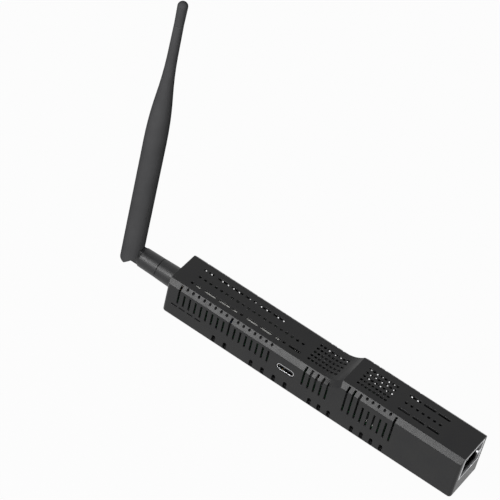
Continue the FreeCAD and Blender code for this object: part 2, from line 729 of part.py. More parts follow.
def screw_posts(body):
    for name, top in (("screw_a", size("low_height")), ("screw_b", size("high_height"))):
        centre = from_antenna_end(size(name))
        post = new_sketch(body, name + "_post_sketch", "XY_Plane", BOARD_TOP)
        add_circle(post, centre, ZERO, size("post_diameter"))
        add_pad(body, post, name + "_post", top - size("top_wall") / 2 - BOARD_TOP)
        bore = new_sketch(body, name + "_bore_sketch", "XY_Plane", BOARD_TOP)
        add_circle(bore, centre, ZERO, size("post_bore"))
        add_pocket(body, bore, name + "_bore", size("post_bore_depth"), backwards=True)


def on_top_edge(points, reach, lowest):
    return len(points) == 2 and abs(points[0].x - points[1].x) > 0.01 and all(
        abs(abs(point.y) - reach.value) < 1e-6 and point.z > lowest.value - 1e-3 for point in points)


def make_cavity():
    """Space inside the case, as its own body, with flats along its top edges that
    follow the outer ones."""
    cavity = document.addObject("PartDesign::Body", "case_cavity")
    inside = new_sketch(cavity, "inside_sketch", "XZ_Plane")
    case_outline(inside, size("side_wall"), size("top_wall"))
    add_pad(cavity, inside, "inside", size("case_width") - size("side_wall") * 2, symmetric=True)
    reach = HALF_WIDTH - size("side_wall")
    lowest = size("low_height") - size("top_wall")
    names = edges_where(cavity, lambda points: on_top_edge(points, reach, lowest))
    inner_flat = size("edge_chamfer") + size("side_wall") * (root(as_length(2)) - 1) - size("top_wall")
    add_dressing(cavity, "Chamfer", "inner_flats", names, "Size", inner_flat)
    return cavity


def make_case():
    body = new_body("case_shell")
    outside = new_sketch(body, "outside_sketch", "XZ_Plane")
    case_outline(outside, ZERO, ZERO)
    add_pad(body, outside, "outside", size("case_width"), symmetric=True)

    names = edges_where(body, lambda points: on_top_edge(points, HALF_WIDTH, size("low_height")))
    add_dressing(body, "Chamfer", "top_flats", names, "Size", size("edge_chamfer"))

    def on_corner(points):
        return len(points) == 2 and all(
            abs(abs(point.y) - HALF_WIDTH.value) < 1e-6
            and abs(abs(point.x) - HALF_LENGTH.value) < 1e-6
            for point in points)

    names = edges_where(body, on_corner)
    add_dressing(body, "Fillet", "upright_corners", names, "Radius", size("corner_round"))

    cut_bodies(body, "hollow", [make_cavity()])

    screw_posts(body)
    port_openings(body)
    cut_bodies(body, "openings", [side_openings(), top_openings()])


def make_cover():
    body = new_body("bottom_cover")
    clear = size("side_wall") + size("cover_gap")
    plate = new_sketch(body, "plate_sketch", "XY_Plane")
    add_centred(plate, ZERO, ZERO, size("case_length") - clear * 2, size("case_width") - clear * 2)
    add_pad(body, plate, "plate", size("cover_thickness"))

    pillar_height = BOARD_UNDER - size("cover_thickness")
    for name in ("screw_a", "screw_b"):
        centre = from_antenna_end(size(name))
        pillar = new_sketch(body, name + "_pillar_sketch", "XY_Plane", size("cover_thickness"))
        add_circle(pillar, centre, ZERO, size("standoff_diameter"))
        add_pad(body, pillar, name + "_pillar", pillar_height)
        bore = new_sketch(body, name + "_bore_sketch", "XY_Plane")
        add_circle(bore, centre, ZERO, size("screw_bore"))
        add_pocket(body, bore, name + "_bore", backwards=True)
        head = new_sketch(body, name + "_head_sketch", "XY_Plane")
        add_circle(head, centre, ZERO, size("head_bore"))
        add_pocket(body, head, name + "_head_bore", size("head_bore_depth"), backwards=True)

    rest = new_sketch(body, "rest_sketch", "XY_Plane", size("cover_thickness"))
    for side in (-size("rest_offset"), size("rest_offset")):
        add_centred(rest, from_antenna_end(size("rest_inset")), side,
                    size("rest_width"), size("rest_width"))
    rest_pad = add_pad(body, rest, "board_rest", pillar_height)
    between = size("case_length") - size("rest_inset") * 2
    repeat(body, rest_pad, "board_rests", "X_Axis", between, 2)

    for name, count in (("a", COVER_SLOTS_A), ("b", COVER_SLOTS_B)):
        label = "floor_slots_" + name
        sketch = new_sketch(body, label + "_sketch", "XY_Plane")
        add_centred(sketch, from_antenna_end(size(label)), ZERO,
                    size("floor_slot_width"), size("floor_slot_length"))
        slot = add_pocket(body, sketch, label + "_first", size("cover_thickness"), backwards=True)
        repeat(body, slot, label, "X_Axis", size("floor_slot_pitch"), count, cuts=True)


def make_screws():
    screws = []
    for name in ("screw_a", "screw_b"):
        body = document.addObject("PartDesign::Body", name + "_screw")
        place_object(body, from_antenna_end(size(name)), ZERO, size("head_bore_depth"))
        profile = new_sketch(body, name + "_profile", "XZ_Plane")
        head = size("screw_head") / 2
        shank = size("screw_diameter") / 2
        bottom = -size("screw_head_height")
        add_outline(profile, [
            (ZERO, bottom), (head, bottom), (head, ZERO), (shank, ZERO),
            (shank, size("screw_length")), (ZERO, size("screw_length")),
        ])
        add_revolution(body, profile, name + "_turned", "V_Axis")
        recess = new_sketch(body, name + "_recess_sketch", "XY_Plane", bottom)
        add_cross(recess, size("screw_recess_span"), size("screw_recess"))
        add_pocket(body, recess, name + "_recess", size("screw_recess_depth"), backwards=True)
        screws.append(body)
    group("cover_screws", screws)


def add_cross(sketch, span, width):
    far = span / 2
    near = width / 2
    add_outline(sketch, [
        (-far, -near), (-near, -near), (-near, -far), (near, -far), (near, -near), (far, -near),
        (far, near), (near, near), (near, far), (-near, far), (-near, near), (-far, near),
    ])


def make_board():
    body = new_body("main_board")
    left = from_antenna_end(size("side_wall") + size("flange_thickness"))
    right = from_jack_end(size("side_wall") + size("board_gap"))
    half = HALF_WIDTH - size("side_wall") - size("board_gap")
    outline = new_sketch(body, "board_sketch", "XY_Plane", BOARD_UNDER)
    add_rectangle(outline, left, -half, right, half)
    for name in ("screw_a", "screw_b"):
        add_circle(outline, from_antenna_end(size(name)), ZERO, size("screw_bore"))
    add_pad(body, outline, "board", size("board_thickness"))


def make_module(name):
    start = from_antenna_end(size(name + "_start"))
    length = size(name + "_length")
    width = size("module_width")
    front = -size("module_shift") - width / 2
    seat = BOARD_TOP + size("header_height")
    add_box(name, start, front, seat, length, width, size("module_thickness"))
    body = new_body(name + "_shield")
    inset = size("shield_inset")
    outline = new_sketch(body, name + "_shield_sketch", "XY_Plane", seat + size("module_thickness"))
    add_rectangle(outline, start + inset, front + inset, start + length - inset, front + width - inset)
    add_pad(body, outline, name + "_can", size("shield_height"))
    ends = (start + inset, start + length - inset - size("header_width"))
    return [add_box("%s_header_%d" % (name, index), end, front + inset, BOARD_TOP, size("header_width"),
                    width - inset * 2, size("header_height"), part=False)
            for index, end in enumerate(ends, 1)]


def make_network_jack():
    front = from_jack_end(size("jack_inset"))
    half = size("jack_width") / 2
    sheet_wall = size("jack_sheet")
    top = BOARD_TOP + size("jack_height")
    shield = new_body("network_jack_shield")
    outer = new_sketch(shield, "shield_sketch", "YZ_Plane", front)
    add_rectangle(outer, -half, BOARD_TOP, half, top)
    add_pad(shield, outer, "shield", size("jack_depth"), backwards=True)
    inner = new_sketch(shield, "shield_inside_sketch", "YZ_Plane", front)
    add_rectangle(inner, -half + sheet_wall, BOARD_TOP + sheet_wall, half - sheet_wall, top - sheet_wall)
    add_pocket(shield, inner, "shield_inside", size("jack_depth") - sheet_wall)

    body = new_body("network_jack_housing")
    face = front - size("jack_face_inset")
    floor = BOARD_TOP + size("plug_floor")
    block = new_sketch(body, "housing_sketch", "YZ_Plane", face)
    add_rectangle(block, -half + sheet_wall, BOARD_TOP + sheet_wall, half - sheet_wall, top - sheet_wall)
    add_pad(body, block, "housing", size("jack_depth") - sheet_wall - size("jack_face_inset"), backwards=True)
    roof = floor + size("plug_height")
    step = roof + size("latch_height")
    crown = step + size("latch_height")
    wide = size("plug_width") / 2
    middle = size("latch_width") / 2
    narrow = size("latch_top_width") / 2
    cavity = new_sketch(body, "plug_cavity_sketch", "YZ_Plane", face)
    add_outline(cavity, [
        (-wide, floor), (wide, floor), (wide, roof), (middle, roof), (middle, step), (narrow, step),
        (narrow, crown), (-narrow, crown), (-narrow, step), (-middle, step), (-middle, roof), (-wide, roof),
    ])
    add_pocket(body, cavity, "plug_cavity", size("plug_depth"))
    windows = new_sketch(body, "window_sketch", "YZ_Plane", face)
    for side in (-size("window_offset"), size("window_offset")):
        add_centred(windows, side, step + size("window_height") / 2 - size("latch_height") / 2,
                    size("window_width"), size("window_height"))
    add_pocket(body, windows, "light_windows", size("window_depth"))

    contacts = new_body("network_jack_contacts")
    deep = face - size("plug_depth")
    rise = size("contact_rise")
    thick = size("contact_thickness")
    tip = deep + size("contact_length")
    spring = new_sketch(contacts, "contact_sketch", "XZ_Plane",
                        size("contact_pitch") * (JACK_CONTACTS - 1) / 2)
    add_outline(spring, [
        (deep, floor + rise), (tip, floor), (tip, floor + thick), (deep, floor + rise + thick),
    ])
    blade = add_pad(contacts, spring, "contact", size("contact_width"), symmetric=True)
    contacts.AllowCompound = True
    repeat(contacts, blade, "contact_row", "Y_Axis", size("contact_pitch"), JACK_CONTACTS)


def make_front_port():
    x = from_antenna_end(size("port_centre"))
    z = BOARD_TOP + size("port_height") / 2
    face = HALF_WIDTH - size("port_inset")
    sheet_wall = size("port_sheet") * 2
    shell = new_body("front_port_shell")
    outer = new_sketch(shell, "port_sketch", "XZ_Plane", face)
    add_stadium(outer, x, z, size("port_width"), size("port_height"))
    add_pad(shell, outer, "port", size("port_depth"), backwards=True)
    inner = new_sketch(shell, "port_inside_sketch", "XZ_Plane", face)
    add_stadium(inner, x, z, size("port_width") - sheet_wall, size("port_height") - sheet_wall)
    add_pocket(shell, inner, "port_inside", size("port_depth") - size("port_sheet"))

    tongue = new_body("front_port_tongue")
    back = face - size("port_depth") + size("port_sheet")
    root_sketch = new_sketch(tongue, "tongue_root_sketch", "XZ_Plane", back)
    add_stadium(root_sketch, x, z, size("port_width") - sheet_wall, size("port_height") - sheet_wall)
    add_pad(tongue, root_sketch, "tongue_root", size("tongue_root"))
    blade = new_sketch(tongue, "tongue_sketch", "XZ_Plane", back + size("tongue_root") / 2)
    add_centred(blade, x, z, size("tongue_width"), size("tongue_thickness"))
    reach = size("port_depth") - size("port_sheet") - size("tongue_inset") - size("tongue_root") / 2
    add_pad(tongue, blade, "tongue", reach)


def make_antenna_socket():
    height = size("antenna_height")
    wall = size("side_wall")
    body = new_body("antenna_socket")
    place_object(body, -HALF_LENGTH, ZERO, height)
    barrel = new_sketch(body, "barrel_sketch", "XZ_Plane")
    outer = size("socket_thread") / 2
    bore = size("socket_bore") / 2
    tip = -size("socket_reach")
    relief = size("socket_relief")
    add_outline(barrel, [
        (tip, bore), (tip, outer - relief), (tip + relief, outer), (wall, outer), (wall, bore),
    ])
    add_revolution(body, barrel, "barrel")
    half = size("flange_size") / 2
    flange = new_sketch(body, "flange_sketch", "YZ_Plane", wall)
    add_rectangle(flange, -half, -half, half, half)
    add_pad(body, flange, "flange", size("flange_thickness"))
    leg_start = wall + size("flange_thickness")
    legs = new_sketch(body, "leg_sketch", "YZ_Plane", leg_start)
    above = BOARD_TOP - height
    below = BOARD_UNDER - height - size("leg_height")
    for side in (-size("leg_offset"), size("leg_offset")):
        for foot in (above, below):
            add_rectangle(legs, side - size("leg_width") / 2, foot,
                          side + size("leg_width") / 2, foot + size("leg_height"))
    add_pad(body, legs, "legs", size("leg_length"))
    passage = new_sketch(body, "passage_sketch", "YZ_Plane", leg_start)
    add_circle(passage, ZERO, ZERO, size("socket_bore"))
    add_pocket(body, passage, "passage")

    core = new_body("antenna_socket_insulator")
    place_object(core, -HALF_LENGTH, ZERO, height)
    tube = new_sketch(core, "insulator_sketch", "XZ_Plane")
    pin = size("socket_contact") / 2
    end = leg_start
    add_rectangle(tube, tip + size("socket_contact"), pin, end, bore)
    add_revolution(core, tube, "insulator")

    contact = new_body("antenna_socket_contact")
    place_object(contact, -HALF_LENGTH, ZERO, height)
    rod = new_sketch(contact, "socket_contact_sketch", "XZ_Plane")
    tail = size("contact_tail") / 2
    hollow = size("contact_bore") / 2
    depth = size("contact_bore_depth")
    mouth = tip + size("socket_contact")
    add_outline(rod, [
        (mouth, hollow), (mouth, pin), (end, pin), (end, tail),
        (end + size("contact_tail_length"), tail), (end + size("contact_tail_length"), ZERO),
        (mouth + depth, ZERO), (mouth + depth, hollow),
    ])
    add_revolution(contact, rod, "socket_contact_turned")


def make_collar():
    body = new_body("antenna_collar")
    place_object(body, -HALF_LENGTH, ZERO, size("antenna_height"))
    foot = -size("collar_gap")
    head = foot - size("collar_length")
    bore = size("collar_bore") / 2
    throat = size("neck_diameter") / 2 + size("neck_gap")
    edge = size("collar_edge")
    inner = head + size("collar_wall")
    profile = new_sketch(body, "collar_sketch", "XZ_Plane")
    add_outline(profile, [
        (foot, bore), (inner, bore), (inner, throat), (head, throat), (head, size("collar_head") / 2),
        (foot - edge, size("collar_foot") / 2),
        (foot, size("collar_foot") / 2 - edge),
    ])
    add_revolution(body, profile, "collar")

    nut = new_body("antenna_nut")
    place_object(nut, -HALF_LENGTH, ZERO, size("antenna_height"))
    start = foot - size("nut_inset")
    end = start - size("nut_length")
    gap = size("nut_gap")
    ring = new_sketch(nut, "nut_sketch", "XZ_Plane")
    cavity = -size("socket_reach") - gap
    pin_hole = size("plug_pin") / 2 + gap
    add_outline(ring, [
        (start, size("socket_thread") / 2 + gap), (start, bore - gap), (end, bore - gap), (end, pin_hole),
        (cavity, pin_hole), (cavity, size("socket_thread") / 2 + gap),
    ])
    add_revolution(nut, ring, "nut")


def knuckle_values():
    seam = -size("collar_gap") - size("collar_length") - size("seam")
    shoulder = -size("hinge_reach") + size("foot_reach") + size("hinge_clear")
    return seam, shoulder


def make_knuckle():
    body = new_body("antenna_knuckle")
    place_object(body, -HALF_LENGTH, ZERO, size("antenna_height"))
    seam, shoulder = knuckle_values()
    inner = -size("collar_gap") - size("collar_length") + size("collar_wall") + size("seam")
    neck = size("neck_diameter") / 2
    head = size("neck_head") / 2
    edge = size("knuckle_edge")
    profile = new_sketch(body, "knuckle_sketch", "XZ_Plane")
    add_outline(profile, [
        (inner + size("neck_head_length"), ZERO), (inner + size("neck_head_length"), head), (inner, head),
        (inner, neck), (seam, neck), (seam, size("knuckle_seam") / 2),
        (shoulder + edge, size("knuckle_shoulder") / 2),
        (shoulder, size("knuckle_shoulder") / 2 - edge), (shoulder, ZERO),
    ])
    add_revolution(body, profile, "knuckle")
    pivot = -size("hinge_reach")
    radius = size("hinge_tongue_radius")
    tongue = new_sketch(body, "hinge_tongue_sketch", "XZ_Plane")
    add_outline(tongue, [
        (pivot, -radius), (shoulder + edge * 2, -radius), (shoulder + edge * 2, radius),
        (pivot, radius, (pivot, ZERO), 1, "x"),
    ])
    add_pad(body, tongue, "hinge_tongue", size("hinge_tongue"), symmetric=True)
    stubs = new_sketch(body, "trunnion_sketch", "XZ_Plane")
    add_circle(stubs, pivot, ZERO, size("trunnion_diameter"))
    add_pad(body, stubs, "trunnions", size("hinge_tongue") + size("trunnion_length") * 2, symmetric=True)
    passage = new_sketch(body, "pin_passage_sketch", "YZ_Plane", inner + size("neck_head_length"))
    add_circle(passage, ZERO, ZERO, size("plug_pin"))
    add_pocket(body, passage, "pin_passage", size("plug_pin_root"))

    pin = new_body("antenna_plug_pin")
    place_object(pin, -HALF_LENGTH, ZERO, size("antenna_height"))
    rod = new_sketch(pin, "plug_pin_sketch", "XZ_Plane")
    tip = -size("plug_pin_reach")
    half = size("plug_pin") / 2
    back = inner + size("neck_head_length") - size("plug_pin_root")
    add_outline(rod, [
        (tip, ZERO), (tip - half, half), (back, half), (back, ZERO),
    ])
    add_revolution(pin, rod, "plug_pin")


def mast_profile(sketch):
    radius = size("mast_diameter") / 2
    foot = -size("foot_reach")
    edge = size("foot_round")
    neck = size("mast_neck") / 2
    start = size("mast_straight")
    half = size("mast_taper") / 2
    fall = (radius - neck) / 2
    bend = (half * half + fall * fall) / (fall * 2)
    middle = (radius + neck) / 2
    seam = size("mast_length")
    add_outline(sketch, [
        (ZERO, foot), (radius - edge, foot, (radius - edge, foot + edge), 1, "x"),
        (radius, foot + edge), (radius, start, (radius - bend, start), 1, "y"),
        (middle, start + half, (neck + bend, start + half * 2), -1, "y"), (neck, start + half * 2),
        (size("mast_tip") / 2, seam), (ZERO, seam),
    ])


def make_mast():
    body = new_body("antenna_mast")
    place_object(body, -HALF_LENGTH - size("hinge_reach"), ZERO, size("antenna_height"))
    profile = new_sketch(body, "mast_sketch", "XZ_Plane")
    mast_profile(profile)
    add_revolution(body, profile, "mast", "V_Axis")

    beyond = size("mast_diameter")
    cut = size("foot_cut")
    slant = new_sketch(body, "foot_cut_sketch", "XZ_Plane")
    add_outline(slant, [(cut - beyond, -beyond), (beyond, -beyond), (beyond, beyond - cut)])
    add_pocket(body, slant, "foot_cut", beyond * 2, symmetric=True)

    gap = size("hinge_tongue") + size("hinge_side_gap") * 2
    fork = new_sketch(body, "fork_sketch", "YZ_Plane")
    roof = size("hinge_tongue_radius") + size("hinge_top_gap")
    add_rectangle(fork, -gap / 2, -beyond, gap / 2, roof)
    add_pocket(body, fork, "fork", beyond * 2, symmetric=True)
    sockets = new_sketch(body, "trunnion_socket_sketch", "XZ_Plane")
    add_circle(sockets, ZERO, ZERO, size("trunnion_diameter") + size("trunnion_gap") * 2)
    depth = size("hinge_tongue") + (size("trunnion_length") + size("hinge_side_gap")) * 2
    add_pocket(body, sockets, "trunnion_sockets", depth, symmetric=True)
    bore = new_sketch(body, "mast_bore_sketch", "XY_Plane", size("mast_bore_start"))
    add_circle(bore, ZERO, ZERO, size("mast_bore"))
    add_pocket(body, bore, "mast_bore", backwards=True)


def make_tip_cap():
    body = new_body("antenna_tip_cap")
    place_object(body, -HALF_LENGTH - size("hinge_reach"), ZERO, size("antenna_height"))
    seam = size("mast_length") + size("cap_seam")
    plug = size("mast_bore") / 2 - size("cap_plug_gap")
    wide = size("cap_diameter") / 2
    top = seam + size("cap_length")
    profile = new_sketch(body, "cap_sketch", "XZ_Plane")
    add_outline(profile, [
        (ZERO, size("mast_length") - size("cap_plug_length")),
        (plug, size("mast_length") - size("cap_plug_length")), (plug, seam),
        (size("mast_tip") / 2, seam), (wide, top - wide), (wide * DOME_STEP, top - wide * (1 - DOME_STEP)),
        (wide * DOME_TOP, top), (ZERO, top),
    ])
    add_revolution(body, profile, "cap", "V_Axis")

    rod = new_body("antenna_radiator")
    place_object(rod, -HALF_LENGTH - size("hinge_reach"), ZERO, size("antenna_height"))
    section = new_sketch(rod, "radiator_sketch", "XY_Plane", size("mast_bore_start"))
    add_circle(section, ZERO, ZERO, size("radiator_diameter"))
    add_pad(rod, section, "radiator", size("radiator_length"))


def make_power_parts():
    start = from_antenna_end(size("power_core_start"))
    length = size("power_core_length")
    width = size("power_core_width")
    height = size("power_core_height")
    leg = size("power_core_leg")
    gap = size("winding_gap")
    core = new_body("power_transformer_core")
    block = new_sketch(core, "core_sketch", "XZ_Plane")
    add_rectangle(block, start, BOARD_TOP, start + length, BOARD_TOP + height)
    window = (length - leg * CORE_LEGS) / 2
    for left in (start + leg, start + leg * 2 + window):
        add_rectangle(block, left, BOARD_TOP + leg, left + window, BOARD_TOP + height - leg)
    add_pad(core, block, "core", width, symmetric=True)
    middle = start + length / 2
    winding = new_body("power_transformer_winding")
    outer = new_sketch(winding, "winding_sketch", "XY_Plane", BOARD_TOP + leg)
    reach = length / 2 - leg - gap
    add_centred(outer, middle, ZERO, reach * 2, width + leg)
    add_centred(outer, middle, ZERO, leg + gap * 2, width + gap * 2)
    add_pad(winding, outer, "winding", height - leg * 2)

    cans = []
    for index in range(2):
        x = from_antenna_end(size("filter_can_start") + size("filter_can_pitch") * index)
        name = "filter_can_%d" % (index + 1)
        cans.append(add_cylinder(name, x, -size("filter_can_offset"), BOARD_TOP,
                                 size("filter_can"), size("filter_can_height"), part=False))
    group("filter_capacitors", cans)
    add_box("power_inductor", from_antenna_end(size("inductor_start")),
            size("inductor_offset") - size("inductor_size") / 2, BOARD_TOP,
            size("inductor_size"), size("inductor_size"), size("inductor_height"))
    diodes = []
    for index, side in enumerate((-size("diode_offset"), size("diode_offset")), 1):
        diodes.append(add_box("diode_%d" % index, from_antenna_end(size("diode_start")),
                              side - size("diode_width") / 2, BOARD_TOP, size("diode_length"),
                              size("diode_width"), size("diode_height"), part=False))
    group("rectifier_diodes", diodes)


def make_chips():
    add_centred_box("network_chip", from_antenna_end(size("network_chip_centre")), size("chip_offset"),
                    BOARD_TOP, size("network_chip_size"), size("network_chip_size"), size("chip_height"))
    add_centred_box("bridge_chip", from_antenna_end(size("bridge_chip_centre")), size("bridge_chip_offset"),
                    BOARD_TOP, size("bridge_chip_size"), size("bridge_chip_size"), size("chip_height"))
    add_centred_box("power_chip", from_antenna_end(size("power_chip_centre")), -size("power_chip_offset"),
                    BOARD_TOP, size("power_chip_length"), size("power_chip_width"),
                    size("power_chip_height"))
    add_centred_box("line_transformer", from_antenna_end(size("line_block_start"))
                    + size("line_block_length") / 2, ZERO, BOARD_TOP, size("line_block_length"),
                    size("line_block_width"), size("line_block_height"))
    lamps = []
    for index, side in enumerate((-size("top_row_offset"), size("top_row_offset")), 1):
        lamps.append(add_centred_box("lamp_%d" % index, from_antenna_end(size("lamp_centre")), side,
                                     BOARD_TOP, size("lamp_length"), size("lamp_width"),
                                     size("lamp_height"), part=False))
    group("status_lamps", lamps)


def check_and_export():
    document.recompute()
    for item in document.Objects:
        if "Invalid" in item.State or "Error" in item.State:
            raise RuntimeError("%s failed: %s" % (item.Label, item.State))
    for part in PARTS:
        if part.Shape.isNull() or not part.Shape.isValid() or not part.Shape.Solids:
            raise RuntimeError("%s has no valid solid" % part.Label)
    os.makedirs("parts", exist_ok=True)
    for part in PARTS:
        part.Shape.exportStep("parts/%s.step" % part.Label)
        print(part.Label, len(part.Shape.Solids), "solids", round(part.Shape.Volume, 1), "mm3")


make_case()
make_cover()
make_screws()
make_board()
group("module_headers", make_module("radio_module") + make_module("network_module"))
make_network_jack()
make_front_port()
make_antenna_socket()
make_collar()
make_knuckle()
make_mast()
make_tip_cap()
make_power_parts()
make_chips()
check_and_export()
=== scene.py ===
import json
import math

import bmesh
import bpy
from mathutils import Matrix, Vector

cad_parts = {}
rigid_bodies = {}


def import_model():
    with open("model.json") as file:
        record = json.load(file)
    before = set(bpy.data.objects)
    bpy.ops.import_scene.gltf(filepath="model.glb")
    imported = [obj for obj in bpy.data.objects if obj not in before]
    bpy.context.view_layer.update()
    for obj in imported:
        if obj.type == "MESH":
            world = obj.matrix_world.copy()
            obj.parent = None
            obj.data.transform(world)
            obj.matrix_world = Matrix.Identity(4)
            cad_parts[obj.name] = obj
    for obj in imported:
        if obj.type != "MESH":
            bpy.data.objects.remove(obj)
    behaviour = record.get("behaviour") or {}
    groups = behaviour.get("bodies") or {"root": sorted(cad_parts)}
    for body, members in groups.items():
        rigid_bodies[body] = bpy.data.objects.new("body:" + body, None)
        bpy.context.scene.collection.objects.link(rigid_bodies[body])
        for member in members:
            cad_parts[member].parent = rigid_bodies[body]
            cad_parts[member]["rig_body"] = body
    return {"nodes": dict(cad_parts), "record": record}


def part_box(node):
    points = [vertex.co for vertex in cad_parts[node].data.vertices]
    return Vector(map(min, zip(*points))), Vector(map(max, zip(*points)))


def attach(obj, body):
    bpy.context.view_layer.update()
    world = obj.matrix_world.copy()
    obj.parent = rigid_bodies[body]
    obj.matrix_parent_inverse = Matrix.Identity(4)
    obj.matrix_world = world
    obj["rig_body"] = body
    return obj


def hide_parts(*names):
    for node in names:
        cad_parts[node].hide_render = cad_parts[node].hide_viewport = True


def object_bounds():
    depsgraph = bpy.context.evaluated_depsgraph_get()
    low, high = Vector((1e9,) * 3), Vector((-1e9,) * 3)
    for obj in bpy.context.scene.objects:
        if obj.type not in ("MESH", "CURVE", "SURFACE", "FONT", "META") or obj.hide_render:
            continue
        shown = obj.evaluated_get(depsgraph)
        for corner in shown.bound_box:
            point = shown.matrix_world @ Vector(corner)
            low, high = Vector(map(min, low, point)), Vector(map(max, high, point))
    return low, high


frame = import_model()
NODES = frame["nodes"]
CAD_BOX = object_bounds()
MM = 0.001

SLOTS = {part["node"]: part["material_slot"] for part in frame["record"]["subparts"]}

# The photograph's camera, fitted to the case's edges and the upright mast.
CAMERA_AZIMUTH = math.radians(24.877)
CAMERA_ELEVATION = math.radians(46.055)
CAMERA_ROLL = math.radians(14.189)
CAMERA_DISTANCE = 1.11852
CAMERA_TARGET = Vector((-0.04233, -0.011, 0.06607))
CAMERA_LENS = 191.29
CAMERA_SENSOR = 36.0
CAMERA_NEAR = 0.05

# Lamps: direction from the stick, distance, width and height in metres, and power in watts.
# The key faces the flat along the front top edge, so that this flat is the brightest. The
# front lamp stands low under the camera and lights the middle of the round mast.
SOFTBOXES = {
    "key_softbox": ((-0.29, -0.72, 0.63), 1.3, 0.6, 0.45, 14.0),
    "front_softbox": ((0.42, -0.907, 0.2), 1.3, 0.3, 0.8, 13.5),
    "top_softbox": ((0.35, -0.1, 1.0), 1.6, 1.0, 0.8, 2.0),
}

# The air lights the stick with the first strength, and looks white with the second. The
# floor glows nearly white where it is looked at, and keeps the rest for the shadow.
AIR_FILL = 0.14
AIR_WHITE = 1.0
FLOOR_GLOW = 0.97

# Floor: metres from its middle to each side, and millimetres that it lies under the
# stick, so that the two never share a plane.
FLOOR_REACH = 6.0
FLOOR_GAP = 0.1

# Faces that differ by less than the first angle lie in one plane, and edges that are
# sharper than the second are rounded. Corners nearer than WELD millimetres are one.
FLAT_ANGLE = math.radians(0.5)
SHARP_ANGLE = math.radians(30)
WELD = 0.001
ROUNDING_STEPS = 2

# Noise stays between the first two values nearly everywhere. One tone turns into the
# other between the second two.
NOISE_RANGE = (0.3, 0.7)
TONE_RANGE = (0.32, 0.68)

# Moulded plastic: patches of one tone and of one gloss in millimetres, how far the
# roughness drifts, and how strongly the grain shows.
TONE_PATCH = 9.0
GLOSS_PATCH = 6.0
GLOSS_DRIFT = 0.03
GRAIN_STRENGTH = 0.35

# Rolled and turned metal: how many times longer than wide a streak is, how far the
# roughness drifts, and how strongly the streaks show.
STREAK_STRETCH = 40
STREAK_DRIFT = 0.07
STREAK_STRENGTH = 0.3

# Copper tracks under solder mask: the cells they surround and their height in
# millimetres, then half their spacing and their sloping edge as shares of a cell.
TRACK_CELL = 2.5
TRACK_HEIGHT = 0.035
TRACK_HALF_SPACING = 0.1
TRACK_EDGE = (0.03, 0.06)

# Grain and relief of the ferrite, and laps and relief of the winding tape, in
# millimetres. A wave texture repeats after WAVE_BAND at a scale of 1.
FERRITE_GRAIN = 0.2
FERRITE_RELIEF = 0.02
TAPE_LAP = 3.76
TAPE_RELIEF = 0.06
WAVE_BAND = math.tau / 20

# Edge rounding of each CAD node that gets a finished copy, in millimetres.
EDGE_ROUNDING = {
    "case_shell": 0.15,
    "bottom_cover": 0.12,
    "cover_screws": 0.08,
    "module_headers": 0.1,
    "radio_module_shield": 0.25,
    "network_module_shield": 0.25,
    "network_jack_shield": 0.03,
    "network_jack_housing": 0.12,
    "front_port_shell": 0.06,
    "front_port_tongue": 0.06,
    "antenna_socket": 0.05,
    "antenna_nut": 0.05,
    "antenna_collar": 0.12,
    "antenna_knuckle": 0.2,
    "antenna_mast": 0.2,
    "power_transformer_core": 0.2,
    "power_transformer_winding": 0.3,
    "filter_capacitors": 0.35,
    "power_inductor": 0.3,
    "rectifier_diodes": 0.1,
    "network_chip": 0.06,
    "bridge_chip": 0.06,
    "power_chip": 0.1,
    "line_transformer": 0.25,
}

# Cap of the antenna: its plug inside the mast, and the seam above it, in millimetres.
# The dome is drawn in steps from side to top, and turned in steps all round.
CAP_PLUG_LENGTH = 4.15
CAP_PLUG_RADIUS = 1.05
CAP_SEAM_RADIUS = 2.1
CAP_SEAM_EDGE = 0.12
DOME_STEPS = 12
TURN_STEPS = 64

# Small parts of the board, in millimetres: their grid behind the modules, the size of a
# body and of one tinned end, the share that is fitted, and their smallest and full scale.
BOARD_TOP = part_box("main_board")[1].z
SMALL_PART_GRID = (15, 3)
SMALL_PART_PITCH = (2.8, 1.9)
SMALL_PART_MIDDLE = (-44.5, 5.5)
SMALL_PART_SIZE = (1.0, 0.8, 0.58)
SMALL_PART_END = (0.3, 0.84, 0.62)
SMALL_PART_SHARE = 0.6
SMALL_PART_SCALE = (0.6, 1.0)
SMALL_PART_SEED = 7

# A random value node has sockets for every kind of value. These are a number's lowest
# and highest value, and the outputs for a number and for a yes or no.
RANDOM_LOWEST, RANDOM_HIGHEST = 2, 3
RANDOM_NUMBER, RANDOM_CHOICE = 1, 3

# Leads of each chip, in millimetres: number on a side, spacing, width, reach, and the sides
# that have them as quarter turns from the side that faces +X. They bend at these shares
# of their reach.
CHIP_LEADS = {
    "network_chip": (12, 0.5, 0.22, 0.8, (0, 1, 2, 3)),
    "bridge_chip": (7, 0.6, 0.25, 0.6, (0, 1, 2, 3)),
    "power_chip": (4, 1.2, 0.4, 0.85, (1, 3)),
    "line_transformer": (8, 1.4, 0.5, 1.1, (1, 3)),
}
LEAD_THICKNESS = 0.15
LEAD_FOOT = 0.08
LEAD_BEND = (0.6, 0.4)

# Every bent lead, wire and tab is drawn in this many steps.
STRIP_STEPS = 10

# Sprung wires of the jack, which bend at these shares of their length, and the contact
# pads of the small port, which start behind the tip of its tongue, in millimetres.
WIRE_COUNT = 8
WIRE_PITCH = 1.02
WIRE_WIDTH = 0.42
WIRE_THICKNESS = 0.36
WIRE_BEND = (0.35, 0.6)
WIRE_SPRING = 0.1
PAD_COUNT = 12
PAD_PITCH = 0.5
PAD_WIDTH = 0.26
PAD_THICKNESS = 0.06
PAD_LENGTH = 2.4
PAD_SETBACK = 1.1

